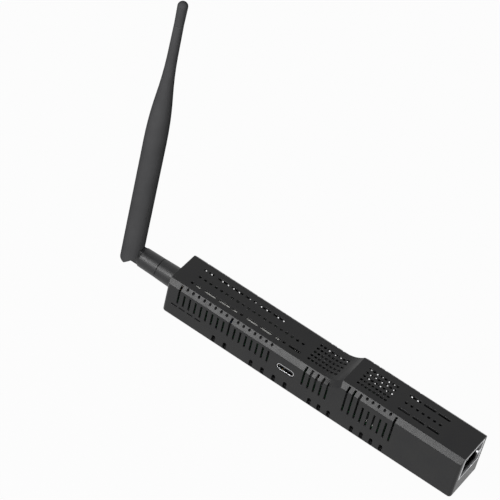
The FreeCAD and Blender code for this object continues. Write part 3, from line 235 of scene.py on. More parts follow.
# Tabs of the jack's shield, in millimetres. Their path gives the distance in front of the
# jack's face and in from its side wall, from the shield over the face into the cavity.
TAB_WIDTH = 2.4
TAB_THICKNESS = 0.15
TAB_HEIGHT = 15.6
TAB_PATH = ((0.12, 0.0), (0.3, 1.7), (0.1, 1.7), (-2.6, 1.65))

# Front lip of the jack's shield, which stands a little outside the shield, in millimetres.
LIP_WIDTH = 0.55
LIP_FLARE = 0.12
LIP_DEPTH = 0.5
LIP_ROUNDING = 0.06

# Light windows of the jack, in millimetres: width and height, rise of the dome, how flat
# its middle is and its steps, place beside the middle and above the floor, depth of the
# block, and how far its back lies behind the jack's face.
LENS_SIZE = (2.6, 2.0)
LENS_DOME = 0.15
LENS_FLATNESS = 4
LENS_STEPS = 8
LENS_OFFSET = 5.4
LENS_HEIGHT = 21.05
LENS_DEPTH = 1.4
LENS_SETBACK = 1.5


def srgb(code):
    """Hex sRGB colour as linear red, green, blue and alpha."""
    parts = [int(code[index:index + 2], 16) / 255 for index in (1, 3, 5)]
    linear = [part / 12.92 if part <= 0.04045 else ((part + 0.055) / 1.055) ** 2.4
              for part in parts]
    return (*linear, 1.0)


def new_material(name):
    material = bpy.data.materials.new(name)
    material.use_nodes = True
    material.node_tree.nodes.clear()
    return material


def add_node(tree, kind, settings=None, links=None):
    """Adds one node. settings holds its properties and socket values, links its inputs."""
    node = tree.nodes.new(kind)
    for key, value in (settings or {}).items():
        if isinstance(key, str) and hasattr(node, key):
            setattr(node, key, value)
        else:
            node.inputs[key].default_value = value
    for key, source in (links or {}).items():
        tree.links.new(source, node.inputs[key])
    return node


def set_stops(ramp, stops):
    """Gives a colour ramp its stops, each a position and a hex colour."""
    elements = ramp.color_ramp.elements
    while len(elements) < len(stops):
        elements.new(0.5)
    for element, (position, code) in zip(elements, stops):
        element.position = position
        element.color = srgb(code)


def finish_surface(material, shader):
    add_node(material.node_tree, "ShaderNodeOutputMaterial", None, {"Surface": shader.outputs[0]})
    return material


def grain_bump(tree, size_mm, depth_mm):
    """Bump of a fine moulded grain, from the size of one grain in millimetres."""
    place = add_node(tree, "ShaderNodeTexCoord")
    grain = add_node(tree, "ShaderNodeTexNoise", {"Scale": 1 / (size_mm * MM), "Detail": 3.0},
                     {"Vector": place.outputs["Object"]})
    return add_node(tree, "ShaderNodeBump",
                    {"Strength": GRAIN_STRENGTH, "Distance": depth_mm * MM},
                    {"Height": grain.outputs["Fac"]})


def spread_range(tree, source, low, high):
    """Noise value spread out between two values."""
    least, most = NOISE_RANGE
    return add_node(tree, "ShaderNodeMapRange",
                    {"From Min": least, "From Max": most, "To Min": low, "To Max": high},
                    {"Value": source})


def uneven_roughness(tree, size_mm, low, high):
    """Roughness that drifts between two values over patches of a size in millimetres."""
    place = add_node(tree, "ShaderNodeTexCoord")
    patches = add_node(tree, "ShaderNodeTexNoise", {"Scale": 1 / (size_mm * MM), "Detail": 4.0},
                       {"Vector": place.outputs["Object"]})
    return spread_range(tree, patches.outputs["Fac"], low, high)


def two_tones(tree, size_mm, first, second):
    """Colour that drifts softly between two close tones."""
    place = add_node(tree, "ShaderNodeTexCoord")
    patches = add_node(tree, "ShaderNodeTexNoise", {"Scale": 1 / (size_mm * MM), "Detail": 5.0},
                       {"Vector": place.outputs["Object"]})
    ramp = add_node(tree, "ShaderNodeValToRGB", None, {"Fac": patches.outputs["Fac"]})
    set_stops(ramp, list(zip(TONE_RANGE, (first, second))))
    return ramp


def moulded_plastic(name, first, second, roughness, grain_mm, depth_mm, specular=0.5):
    """Moulded plastic of two close tones, with a tool's grain and its depth in millimetres."""
    material = new_material(name)
    tree = material.node_tree
    tone = two_tones(tree, TONE_PATCH, first, second)
    rough = uneven_roughness(tree, GLOSS_PATCH, roughness - GLOSS_DRIFT, roughness + GLOSS_DRIFT)
    bump = grain_bump(tree, grain_mm, depth_mm)
    shader = add_node(tree, "ShaderNodeBsdfPrincipled",
                      {"IOR": 1.5, "Specular IOR Level": specular},
                      {"Base Color": tone.outputs["Color"], "Roughness": rough.outputs["Result"],
                       "Normal": bump.outputs["Normal"]})
    return finish_surface(material, shader)


def case_plastic():
    # ABS moulded in a tool with a fine spark texture: an even, slightly silky black. A real
    # grain is near 0.05 mm and is drawn at 0.3 mm, so that it shows at all.
    return moulded_plastic("spark_textured_black_abs", "#202021", "#232323",
                           roughness=0.33, grain_mm=0.3, depth_mm=0.0003, specular=0.16)


def antenna_sleeve():
    # Thermoplastic rubber moulded round the rod: paler than the case, soft and quite dull.
    return moulded_plastic("moulded_soft_rubber_sleeve", "#404041", "#444445",
                           roughness=0.7, grain_mm=0.5, depth_mm=0.003, specular=0.0)


def collar_plastic():
    # ABS with a satin tool finish: the glossiest of the antenna's plastics.
    return moulded_plastic("satin_moulded_abs", "#1c1c1d", "#202021",
                           roughness=0.4, grain_mm=0.4, depth_mm=0.0004, specular=0.36)


def connector_plastic():
    # Glass-filled nylon of connector bodies, with short fibres that give a faint mottle.
    return moulded_plastic("glass_filled_nylon_connector", "#0d0d0e", "#151516",
                           roughness=0.46, grain_mm=0.25, depth_mm=0.015)


def chip_resin():
    # Transfer-moulded epoxy with a blasted top: flat dark grey with a fine speckle.
    return moulded_plastic("transfer_moulded_epoxy", "#161618", "#1d1d20",
                           roughness=0.58, grain_mm=0.12, depth_mm=0.01)


def capacitor_sleeve():
    # Black PVC sleeve shrunk over a drawn can: smooth, with a soft gloss.
    return moulded_plastic("heat_shrunk_black_pvc_sleeve", "#101011", "#161617",
                           roughness=0.28, grain_mm=1.2, depth_mm=0.01)


def rolled_metal(name, colour, roughness, streak_mm, axis, depth_mm=0.004):
    """Metal whose rolling or turning leaves fine streaks along one axis."""
    material = new_material(name)
    tree = material.node_tree
    place = add_node(tree, "ShaderNodeTexCoord")
    stretch = [1 / (streak_mm * MM)] * 3
    stretch[axis] /= STREAK_STRETCH
    drawn_out = add_node(tree, "ShaderNodeMapping", {"Scale": stretch},
                         {"Vector": place.outputs["Object"]})
    streaks = add_node(tree, "ShaderNodeTexNoise", {"Scale": 1.0, "Detail": 4.0},
                       {"Vector": drawn_out.outputs["Vector"]})
    rough = spread_range(tree, streaks.outputs["Fac"],
                         roughness - STREAK_DRIFT, roughness + STREAK_DRIFT)
    bump = add_node(tree, "ShaderNodeBump",
                    {"Strength": STREAK_STRENGTH, "Distance": depth_mm * MM},
                    {"Height": streaks.outputs["Fac"]})
    shader = add_node(tree, "ShaderNodeBsdfPrincipled",
                      {"Base Color": srgb(colour), "Metallic": 1.0},
                      {"Roughness": rough.outputs["Result"], "Normal": bump.outputs["Normal"]})
    return finish_surface(material, shader)


def nickel_sheet():
    # Stamped steel sheet, bright nickel plated: pale silver with fine rolling streaks.
    return rolled_metal("nickel_plated_steel_sheet", "#d6d7d9",
                        roughness=0.16, streak_mm=0.15, axis=0, depth_mm=0.0004)


def tinned_sheet():
    # Tin-plated shield can: whiter than nickel, and so dull that it glows under a slot.
    return rolled_metal("tin_plated_shield_sheet", "#ecece8",
                        roughness=0.62, streak_mm=0.2, axis=0, depth_mm=0.001)


def gold_plate():
    # Gold flash over nickel on sprung contacts and pins: warm, with a fine satin streak.
    return rolled_metal("gold_flashed_contact", "#e2b65a", roughness=0.22, streak_mm=0.1, axis=0)


def turned_brass():
    # Free-machining brass, gold plated: turning leaves rings, drawn as streaks across it.
    return rolled_metal("turned_gold_plated_brass", "#d9ae5a",
                        roughness=0.28, streak_mm=0.12, axis=2)


def zinc_steel():
    # Zinc-plated steel screw with a passivated finish: a dull dark grey metal.
    return rolled_metal("black_passivated_zinc_steel", "#3a3a3c",
                        roughness=0.4, streak_mm=0.2, axis=2)


def masked_laminate(name, ground, track):
    # Glass-epoxy laminate under solder mask. Copper tracks stand up 0.035 mm under the
    # mask and are drawn 0.5 mm apart, as raised glossy lines.
    material = new_material(name)
    tree = material.node_tree
    place = add_node(tree, "ShaderNodeTexCoord")
    cells = add_node(tree, "ShaderNodeTexVoronoi",
                     {"distance": "MANHATTAN", "feature": "F1", "Scale": 1 / (TRACK_CELL * MM)},
                     {"Vector": place.outputs["Object"]})
    lines = add_node(tree, "ShaderNodeMath", {"operation": "PINGPONG", 1: TRACK_HALF_SPACING},
                     {0: cells.outputs["Distance"]})
    foot, top = TRACK_EDGE
    raised = add_node(tree, "ShaderNodeMapRange", {"From Min": foot, "From Max": top},
                      {"Value": lines.outputs["Value"]})
    tone = add_node(tree, "ShaderNodeValToRGB", None, {"Fac": raised.outputs["Result"]})
    set_stops(tone, [(0.0, ground), (1.0, track)])
    bump = add_node(tree, "ShaderNodeBump", {"Strength": 0.6, "Distance": TRACK_HEIGHT * MM},
                    {"Height": raised.outputs["Result"]})
    shader = add_node(tree, "ShaderNodeBsdfPrincipled", {"Roughness": 0.3, "IOR": 1.5},
                      {"Base Color": tone.outputs["Color"], "Normal": bump.outputs["Normal"]})
    return finish_surface(material, shader)


def sintered_ferrite():
    # Ground manganese-zinc ferrite: graphite grey with a tight crystalline speckle.
    material = new_material("ground_sintered_ferrite")
    tree = material.node_tree
    place = add_node(tree, "ShaderNodeTexCoord")
    grains = add_node(tree, "ShaderNodeTexVoronoi", {"Scale": 1 / (FERRITE_GRAIN * MM)},
                      {"Vector": place.outputs["Object"]})
    tone = add_node(tree, "ShaderNodeValToRGB", None, {"Fac": grains.outputs["Distance"]})
    set_stops(tone, [(0.0, "#2b2b2e"), (0.9, "#1a1a1c")])
    bump = add_node(tree, "ShaderNodeBump", {"Strength": 0.3, "Distance": FERRITE_RELIEF * MM},
                    {"Height": grains.outputs["Distance"]})
    shader = add_node(tree, "ShaderNodeBsdfPrincipled", {"Roughness": 0.5, "IOR": 2.0},
                      {"Base Color": tone.outputs["Color"], "Normal": bump.outputs["Normal"]})
    return finish_surface(material, shader)


def polyester_tape():
    # Polyester film wound over the copper: glossy, painted a black-brown shade so that it stays
    # dark inside the vents, with a darker line of painted shade where each lap begins.
    material = new_material("shade_darkened_polyester_winding_tape")
    tree = material.node_tree
    place = add_node(tree, "ShaderNodeTexCoord")
    laps = add_node(tree, "ShaderNodeTexWave",
                    {"bands_direction": "Z", "wave_profile": "SAW",
                     "Scale": WAVE_BAND / (TAPE_LAP * MM), "Distortion": 0.4},
                    {"Vector": place.outputs["Object"]})
    tone = add_node(tree, "ShaderNodeValToRGB", None, {"Fac": laps.outputs["Fac"]})
    # Painted shade: every stop is darkened to stand in for the shade inside the vents, and the
    # darkest stop paints the shadow at the start of each lap.
    set_stops(tone, [(0.0, "#0c0b09"), (0.15, "#1c1a15"), (1.0, "#171511")])
    bump = add_node(tree, "ShaderNodeBump", {"Strength": 0.5, "Distance": TAPE_RELIEF * MM},
                    {"Height": laps.outputs["Fac"]})
    shader = add_node(tree, "ShaderNodeBsdfPrincipled",
                      {"Roughness": 0.25, "IOR": 1.55, "Coat Weight": 0.4, "Coat Roughness": 0.1},
                      {"Base Color": tone.outputs["Color"], "Normal": bump.outputs["Normal"]})
    return finish_surface(material, shader)


def ptfe_insulator():
    # Turned PTFE: milky white, waxy, with light passing 0.4 mm in.
    material = new_material("turned_milky_ptfe")
    tree = material.node_tree
    rough = uneven_roughness(tree, size_mm=2.0, low=0.38, high=0.48)
    shader = add_node(tree, "ShaderNodeBsdfPrincipled",
                      {"Base Color": srgb("#e6e5df"), "IOR": 1.35, "Subsurface Weight": 0.3,
                       "Subsurface Scale": 0.4 * MM}, {"Roughness": rough.outputs["Result"]})
    return finish_surface(material, shader)


def lamp_resin():
    # Cast clear resin of a small lamp over a pale base, so it reads as milky yellow.
    material = new_material("cast_lamp_resin")
    tree = material.node_tree
    tone = two_tones(tree, 0.6, "#e8e3bd", "#f2efd8")
    shader = add_node(tree, "ShaderNodeBsdfPrincipled",
                      {"Roughness": 0.15, "IOR": 1.53, "Coat Weight": 0.5, "Coat Roughness": 0.05},
                      {"Base Color": tone.outputs["Color"]})
    return finish_surface(material, shader)


def light_pipe_resin():
    # Clear polycarbonate light pipes that are unlit: they look smoky against the dark jack.
    material = new_material("moulded_polycarbonate_light_pipe")
    tree = material.node_tree
    tone = two_tones(tree, 1.0, "#3b3c3a", "#474845")
    shader = add_node(tree, "ShaderNodeBsdfPrincipled",
                      {"Roughness": 0.12, "IOR": 1.58, "Coat Weight": 0.3, "Coat Roughness": 0.05},
                      {"Base Color": tone.outputs["Color"]})
    return finish_surface(material, shader)


def looked_at(tree):
    """1 for what the camera, gloss or glass looks at, and 0 for what only lights the stick."""
    path = add_node(tree, "ShaderNodeLightPath")
    seen = add_node(tree, "ShaderNodeMath", {"operation": "MAXIMUM"},
                    {0: path.outputs["Is Camera Ray"], 1: path.outputs["Is Glossy Ray"]})
    through = add_node(tree, "ShaderNodeMath", {"operation": "MAXIMUM"},
                       {0: seen.outputs["Value"], 1: path.outputs["Is Transmission Ray"]})
    return through.outputs["Value"]


def floor_paper():
    # Seamless white paper that keeps the shadow. It renders white to the camera and in
    # gloss, and is clear from below, so that the underside can be looked at.
    material = new_material("seamless_white_paper")
    tree = material.node_tree
    paper = add_node(tree, "ShaderNodeBsdfDiffuse", {"Color": srgb("#707070")})
    share = add_node(tree, "ShaderNodeMath", {"operation": "MULTIPLY", 1: FLOOR_GLOW},
                     {0: looked_at(tree)})
    glow = add_node(tree, "ShaderNodeEmission", {"Color": srgb("#ffffff"), "Strength": 1.0})
    upper_face = add_node(tree, "ShaderNodeMixShader", None,
                          {0: share.outputs["Value"], 1: paper.outputs["BSDF"],
                           2: glow.outputs["Emission"]})
    side = add_node(tree, "ShaderNodeNewGeometry")
    clear = add_node(tree, "ShaderNodeBsdfTransparent")
    two_sided = add_node(tree, "ShaderNodeMixShader", None,
                         {0: side.outputs["Backfacing"], 1: upper_face.outputs["Shader"],
                          2: clear.outputs["BSDF"]})
    return finish_surface(material, two_sided)


def make_finishes():
    """One material for each slot of the record."""
    return {
        "case_plastic": case_plastic(),
        "antenna_rubber": antenna_sleeve(),
        "antenna_plastic": collar_plastic(),
        "connector_plastic": connector_plastic(),
        "plated_shield": nickel_sheet(),
        "tinned_shield": tinned_sheet(),
        "gold_contact": gold_plate(),
        "socket_brass": turned_brass(),
        "screw_steel": zinc_steel(),
        "capacitor_can": capacitor_sleeve(),
        "board_laminate": masked_laminate("green_solder_mask_laminate", "#0b2a18", "#12391f"),
        "module_laminate": masked_laminate("blue_solder_mask_laminate", "#0c1a2e", "#14263f"),
        "ferrite": sintered_ferrite(),
        "winding_tape": polyester_tape(),
        "white_insulator": ptfe_insulator(),
        "chip_resin": chip_resin(),
        "lamp_resin": lamp_resin(),
    }


FINISHES = make_finishes()


def dress_nodes():
    """Gives every CAD node the finish of its slot."""
    for node, slot in SLOTS.items():
        mesh = NODES[node].data
        mesh.materials.clear()
        mesh.materials.append(FINISHES[slot])


def link_object(name, data):
    holder = bpy.data.objects.new(name, data)
    bpy.context.scene.collection.objects.link(holder)
    return holder


def add_piece(name, mesh, body, slot, material=None):
    """Finished mesh as a piece that rides on a body and takes its finish from a slot."""
    mesh.name = name
    mesh.materials.clear()
    mesh.materials.append(material or FINISHES[slot])
    piece = link_object(name, mesh)
    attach(piece, body)
    return piece


def settled_mesh(holder):
    """Mesh of an object with its modifiers applied. The object itself is removed."""
    bpy.context.view_layer.update()
    graph = bpy.context.evaluated_depsgraph_get()
    mesh = bpy.data.meshes.new_from_object(holder.evaluated_get(graph), depsgraph=graph)
    bpy.data.objects.remove(holder)
    return mesh


def mesh_of(name, shape):
    """Mesh of a finished shape, which is freed."""
    mesh = bpy.data.meshes.new(name)
    shape.to_mesh(mesh)
    shape.free()
    return mesh


def smooth_round_faces(mesh):
    mesh.shade_smooth()
    mesh.set_sharp_from_angle(angle=SHARP_ANGLE)


def joined_faces(node):
    """Mesh of a CAD node with its loose triangles joined into whole flat faces."""
    source = NODES[node].data
    mesh = bpy.data.meshes.new(node)
    mesh.from_pydata([vertex.co for vertex in source.vertices], [],
                     [tuple(face.vertices) for face in source.polygons])
    shape = bmesh.new()
    shape.from_mesh(mesh)
    bmesh.ops.remove_doubles(shape, verts=shape.verts, dist=WELD * MM)
    bmesh.ops.dissolve_limit(shape, angle_limit=FLAT_ANGLE, verts=shape.verts, edges=shape.edges)
    shape.to_mesh(mesh)
    shape.free()
    mesh.shade_smooth()
    return mesh


def finish_node(node, edge_mm):
    """Copy of a CAD node with rounded edges and smooth round faces, which stands for it."""
    holder = link_object(node, joined_faces(node))
    rounding = holder.modifiers.new("edge_rounding", "BEVEL")
    rounding.width = edge_mm * MM
    rounding.segments = ROUNDING_STEPS
    rounding.limit_method = "ANGLE"
    rounding.angle_limit = SHARP_ANGLE
    rounding.use_clamp_overlap = False
    flats = holder.modifiers.new("flat_faces", "WEIGHTED_NORMAL")
    flats.keep_sharp = True
    piece = add_piece(node + "_finish", settled_mesh(holder), NODES[node]["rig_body"], SLOTS[node])
    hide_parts(node)


def domed_cap():
    """Cap of the antenna, turned on a lathe profile with a smooth round dome."""
    low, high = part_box("antenna_tip_cap")
    centre = (low + high) / 2
    radius = (high.x - low.x) / 2
    shoulder = high.z - radius
    seam = low.z + CAP_PLUG_LENGTH * MM
    edge = CAP_SEAM_EDGE * MM
    profile = [(0, low.z), (CAP_PLUG_RADIUS * MM, low.z), (CAP_PLUG_RADIUS * MM, seam),
               (CAP_SEAM_RADIUS * MM - edge, seam), (CAP_SEAM_RADIUS * MM, seam + edge)]
    for step in range(DOME_STEPS + 1):
        angle = math.radians(90 * step / DOME_STEPS)
        profile.append((radius * math.cos(angle), shoulder + radius * math.sin(angle)))
    shape = bmesh.new()
    rim = [shape.verts.new((centre.x + out, centre.y, height)) for out, height in profile]
    spokes = [shape.edges.new(pair) for pair in zip(rim, rim[1:])]
    bmesh.ops.spin(shape, geom=rim + spokes, cent=centre, axis=(0, 0, 1), angle=math.tau,
                   steps=TURN_STEPS)
    bmesh.ops.remove_doubles(shape, verts=shape.verts, dist=WELD * MM)
    bmesh.ops.recalc_face_normals(shape, faces=shape.faces)
    mesh = mesh_of("antenna_tip_dome", shape)
    smooth_round_faces(mesh)
    piece = add_piece("antenna_tip_dome", mesh, "mast", "antenna_rubber")
    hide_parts("antenna_tip_cap")


def new_geometry_tree(name, inputs):
    """Geometry tree with named inputs and a finish, and its group input."""
    tree = bpy.data.node_groups.new(name, "GeometryNodeTree")
    tree.is_modifier = True
    for label, kind in inputs.items():
        tree.interface.new_socket(name=label, in_out="INPUT", socket_type="NodeSocket" + kind)
    tree.interface.new_socket(name="Finish", in_out="INPUT", socket_type="NodeSocketMaterial")
    tree.interface.new_socket(name="Geometry", in_out="OUTPUT", socket_type="NodeSocketGeometry")
    return tree, add_node(tree, "NodeGroupInput")


def end_geometry_tree(tree, given, shape):
    """Ends a geometry tree with real geometry that wears the given finish."""
    real = add_node(tree, "GeometryNodeRealizeInstances", None, {"Geometry": shape})
    dressed = add_node(tree, "GeometryNodeSetMaterial", None,
                       {"Geometry": real.outputs["Geometry"], "Material": given.outputs["Finish"]})
    add_node(tree, "NodeGroupOutput", None, {"Geometry": dressed.outputs["Geometry"]})


def grown_mesh(tree, values):
    """Plain mesh of a geometry tree for the given inputs."""
    holder = link_object(tree.name, bpy.data.meshes.new(tree.name))
    grower = holder.modifiers.new(tree.name, "NODES")
    grower.node_group = tree
    for item in tree.interface.items_tree:
        if item.in_out == "INPUT":
            grower[item.identifier] = values[item.name]
    return settled_mesh(holder)


def strip_row_tree():
    """Row of flat strips along Y that all follow one bent path in X and Z."""
    tree, given = new_geometry_tree("strip_row", {
        "Count": "Int", "Pitch": "Float", "Width": "Float", "Thickness": "Float",
        "Start": "Vector", "Start Handle": "Vector", "End Handle": "Vector", "End": "Vector"})
    path = add_node(tree, "GeometryNodeCurvePrimitiveBezierSegment", {"Resolution": STRIP_STEPS}, {
        name: given.outputs[name] for name in ("Start", "Start Handle", "End Handle", "End")})
    section = add_node(tree, "GeometryNodeCurvePrimitiveQuadrilateral", None,
                       {"Width": given.outputs["Width"], "Height": given.outputs["Thickness"]})
    strip = add_node(tree, "GeometryNodeCurveToMesh", {"Fill Caps": True},
                     {"Curve": path.outputs["Curve"], "Profile Curve": section.outputs["Curve"]})
    step = add_node(tree, "ShaderNodeCombineXYZ", None, {"Y": given.outputs["Pitch"]})
    places = add_node(tree, "GeometryNodeMeshLine", None,
                      {"Count": given.outputs["Count"], "Offset": step.outputs["Vector"]})
    row = add_node(tree, "GeometryNodeInstanceOnPoints", None,
                   {"Points": places.outputs["Mesh"], "Instance": strip.outputs["Mesh"]})
    end_geometry_tree(tree, given, row.outputs["Instances"])
    return tree


STRIP_ROW = strip_row_tree()


def strip_row(slot, count, pitch, width, thickness, path):
    """Mesh of a row of strips in millimetres, with its middle on the path's Y = 0."""
    start, start_handle, end_handle, end = [Vector((x, 0, z)) * MM for x, z in path]
    mesh = grown_mesh(STRIP_ROW, {
        "Count": count, "Pitch": pitch * MM, "Width": width * MM, "Thickness": thickness * MM,
        "Start": start, "Start Handle": start_handle, "End Handle": end_handle, "End": end,
        "Finish": FINISHES[slot]})
    mesh.transform(Matrix.Translation((0, -pitch * MM * (count - 1) / 2, 0)))
    return mesh


def joined_mesh(name, parts):
    """One mesh of several, each with the matrix that places it."""
    shape = bmesh.new()
    for mesh, place in parts:
        turned = mesh.copy()
        turned.transform(place)
        shape.from_mesh(turned)
        bpy.data.meshes.remove(turned)
    return mesh_of(name, shape)


def quarter_turns(count, axis="Z"):
    return Matrix.Rotation(math.radians(90 * count), 4, axis)


def chip_leads(node, per_side, pitch, width, reach, sides):
    """Gull-wing leads of a chip, one row for each of its sides."""
    low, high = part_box(node)
    size = (high - low) / MM
    middle = size.z / 2
    first_bend, second_bend = [reach * share for share in LEAD_BEND]
    row = strip_row("tinned_shield", per_side, pitch, width, LEAD_THICKNESS, (
        (0.0, middle), (first_bend, middle), (second_bend, LEAD_FOOT), (reach, LEAD_FOOT)))
    under_chip = Matrix.Translation(((low.x + high.x) / 2, (low.y + high.y) / 2, low.z))
    parts = []
    for side in sides:
        half = (size.x if side % 2 == 0 else size.y) / 2
        out_to_wall = Matrix.Translation((half * MM, 0, 0))
        parts.append((row, under_chip @ quarter_turns(side) @ out_to_wall))
    return parts


def make_chip_leads():
    parts = [part for node, sizes in CHIP_LEADS.items() for part in chip_leads(node, *sizes)]
    add_piece("chip_leads", joined_mesh("chip_leads", parts), "stick", "tinned_shield")


def make_jack_contacts():
    """Sprung wires of the network jack, in the place of the plain CAD blades."""
    low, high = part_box("network_jack_contacts")
    size = (high - low) / MM
    half = WIRE_THICKNESS / 2
    first_bend, second_bend = [size.x * share for share in WIRE_BEND]
    row = strip_row("gold_contact", WIRE_COUNT, WIRE_PITCH, WIRE_WIDTH, WIRE_THICKNESS, (
        (0, size.z - half), (first_bend, size.z - half), (second_bend, half + WIRE_SPRING),
        (size.x, half)))
    row.transform(Matrix.Translation((low.x, (low.y + high.y) / 2, low.z)))
    piece = add_piece("jack_contact_wires", row, "stick", "gold_contact")
    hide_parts("network_jack_contacts")


def make_port_pads():
    """Gold pads on both faces of the small port's tongue."""
    low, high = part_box("front_port_tongue")
    middle = (low + high) / 2
    row = strip_row("gold_contact", PAD_COUNT, PAD_PITCH, PAD_WIDTH, PAD_THICKNESS, (
        (0, 0), (PAD_LENGTH / 3, 0), (PAD_LENGTH * 2 / 3, 0), (PAD_LENGTH, 0)))
    parts = []
    for height in (high.z, low.z):
        tip = Matrix.Translation((middle.x, low.y + PAD_SETBACK * MM, height))
        parts.append((row, tip @ quarter_turns(1)))
    add_piece("port_contact_pads", joined_mesh("port_contact_pads", parts), "stick",
              "gold_contact")


def make_jack_tabs():
    """Sheet tabs of the jack's shield, folded over the moulded face into the plug cavity."""
    low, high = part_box("network_jack_housing")
    tab = strip_row("plated_shield", 1, 0.0, TAB_WIDTH, TAB_THICKNESS, TAB_PATH)
    parts = []
    for side, wall in ((-1, low.y), (1, high.y)):
        at_wall = Matrix.Translation((high.x, wall, TAB_HEIGHT * MM))
        parts.append((tab, at_wall @ quarter_turns(side, "X")))
    add_piece("jack_shield_tabs", joined_mesh("jack_shield_tabs", parts), "stick",
              "plated_shield")


def make_jack_lip():
    """Rolled front edge of the jack's shield, level with the case's end wall."""
    low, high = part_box("network_jack_shield")
    middle = (low + high) / 2
    half = (high - low) / 2
    front = CAD_BOX[1][0]
    back = front - LIP_DEPTH * MM
    bend = LIP_ROUNDING * MM
    inner = (LIP_FLARE - LIP_WIDTH) * MM
    outer = LIP_FLARE * MM
    profile = ((inner, back), (inner, front - bend), (inner + bend, front),
               (outer - bend, front), (outer, front - bend), (outer, back))
    shape = bmesh.new()
    corners = []
    for side, rise in ((1, 1), (-1, 1), (-1, -1), (1, -1)):
        corners.append([shape.verts.new((x, middle.y + side * (half.y + out),
                                         middle.z + rise * (half.z + out))) for out, x in profile])
    for near, far in zip(corners, corners[1:] + corners[:1]):
        for index in range(len(profile)):
            after = (index + 1) % len(profile)
            shape.faces.new((near[index], near[after], far[after], far[index]))
    bmesh.ops.recalc_face_normals(shape, faces=shape.faces)
    add_piece("jack_shield_lip", mesh_of("jack_shield_lip", shape), "stick", "plated_shield")


def domed_lens():
    """Block with a softly domed front and its back on X = 0."""
    width, height = LENS_SIZE
    shape = bmesh.new()
    places = [step / LENS_STEPS * 2 - 1 for step in range(LENS_STEPS + 1)]
    rows = []
    for v in places:
        row = []
        for u in places:
            swell = LENS_DOME * (1 - u ** LENS_FLATNESS) * (1 - v ** LENS_FLATNESS)
            out = LENS_DEPTH - LENS_DOME + swell
            row.append(shape.verts.new((out, u * width / 2, v * height / 2)))
        rows.append(row)
    for lower, upper in zip(rows, rows[1:]):
        for i in range(LENS_STEPS):
            shape.faces.new((lower[i], lower[i + 1], upper[i + 1], upper[i]))
    rim = [edge for edge in shape.edges if edge.is_boundary]
    walls = bmesh.ops.extrude_edge_only(shape, edges=rim)["geom"]
    for item in walls:
        if isinstance(item, bmesh.types.BMVert):
            item.co.x = 0
    bmesh.ops.contextual_create(shape, geom=[
        item for item in walls if isinstance(item, bmesh.types.BMEdge) and item.is_boundary])
    bmesh.ops.scale(shape, vec=(MM, MM, MM), verts=shape.verts)
    bmesh.ops.recalc_face_normals(shape, faces=shape.faces)
    mesh = mesh_of("jack_light_pipes", shape)
    smooth_round_faces(mesh)
    return mesh


def make_light_pipes():
    """Two light windows in the jack's face, above the plug cavity."""
    lens = domed_lens()
    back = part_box("network_jack_housing")[1].x - LENS_SETBACK * MM
    parts = [(lens, Matrix.Translation((back, side * LENS_OFFSET * MM, LENS_HEIGHT * MM)))
             for side in (-1, 1)]
    add_piece("jack_light_pipes", joined_mesh("jack_light_pipes", parts), "stick", "lamp_resin",
              light_pipe_resin())


def small_parts_tree():
    """Grid of small board parts, thinned out and scaled by a seed. Each has Blocks blocks."""
    tree, given = new_geometry_tree("small_parts", {
        "Columns": "Int", "Rows": "Int", "Length": "Float", "Depth": "Float", "Size": "Vector",
        "Blocks": "Int", "First": "Vector", "Step": "Vector", "Share": "Float",
        "Smallest": "Float", "Largest": "Float", "Seed": "Int"})
    grid = add_node(tree, "GeometryNodeMeshGrid", None, {
        "Size X": given.outputs["Length"], "Size Y": given.outputs["Depth"],
        "Vertices X": given.outputs["Columns"], "Vertices Y": given.outputs["Rows"]})
    block = add_node(tree, "GeometryNodeMeshCube", None, {"Size": given.outputs["Size"]})
    places = add_node(tree, "GeometryNodeMeshLine", None, {
        "Count": given.outputs["Blocks"], "Start Location": given.outputs["First"],
        "Offset": given.outputs["Step"]})
    blocks = add_node(tree, "GeometryNodeInstanceOnPoints", None,
                      {"Points": places.outputs["Mesh"], "Instance": block.outputs["Mesh"]})
    part = add_node(tree, "GeometryNodeRealizeInstances", None,
                    {"Geometry": blocks.outputs["Instances"]})
    kept = add_node(tree, "FunctionNodeRandomValue", {"data_type": "BOOLEAN"},
                    {"Probability": given.outputs["Share"], "Seed": given.outputs["Seed"]})
    grow = add_node(tree, "FunctionNodeRandomValue", {"data_type": "FLOAT"}, {
        RANDOM_LOWEST: given.outputs["Smallest"], RANDOM_HIGHEST: given.outputs["Largest"],
        "Seed": given.outputs["Seed"]})
    parts = add_node(tree, "GeometryNodeInstanceOnPoints", None, {
        "Points": grid.outputs["Mesh"], "Instance": part.outputs["Geometry"],
        "Selection": kept.outputs[RANDOM_CHOICE], "Scale": grow.outputs[RANDOM_NUMBER]})
    end_geometry_tree(tree, given, parts.outputs["Instances"])
    return tree


def make_small_parts():
    """Ceramic capacitors and resistors on the board, behind the modules, with tinned ends."""
    tree = small_parts_tree()
    columns, rows = SMALL_PART_GRID
    column_pitch, row_pitch = SMALL_PART_PITCH
    smallest, largest = SMALL_PART_SCALE
    grid = {"Columns": columns, "Rows": rows, "Length": column_pitch * (columns - 1) * MM,
            "Depth": row_pitch * (rows - 1) * MM, "Share": SMALL_PART_SHARE,
            "Smallest": smallest, "Largest": largest, "Seed": SMALL_PART_SEED}
    middle_x, middle_y = SMALL_PART_MIDDLE
    middle_z = BOARD_TOP + SMALL_PART_END[2] * MM / 2
    place = Matrix.Translation((middle_x * MM, middle_y * MM, middle_z))
    apart = (SMALL_PART_SIZE[0] + SMALL_PART_END[0]) * MM
    for name, slot, size, blocks in (("small_part_bodies", "ferrite", SMALL_PART_SIZE, 1),
                                     ("small_part_ends", "tinned_shield", SMALL_PART_END, 2)):
        first = Vector((-apart * (blocks - 1) / 2, 0, 0))
        mesh = grown_mesh(tree, {
            **grid, "Size": Vector(size) * MM, "Blocks": blocks, "First": first,
            "Step": Vector((apart, 0, 0)), "Finish": FINISHES[slot]})
        mesh.transform(place)
        add_piece(name, mesh, "stick", slot)


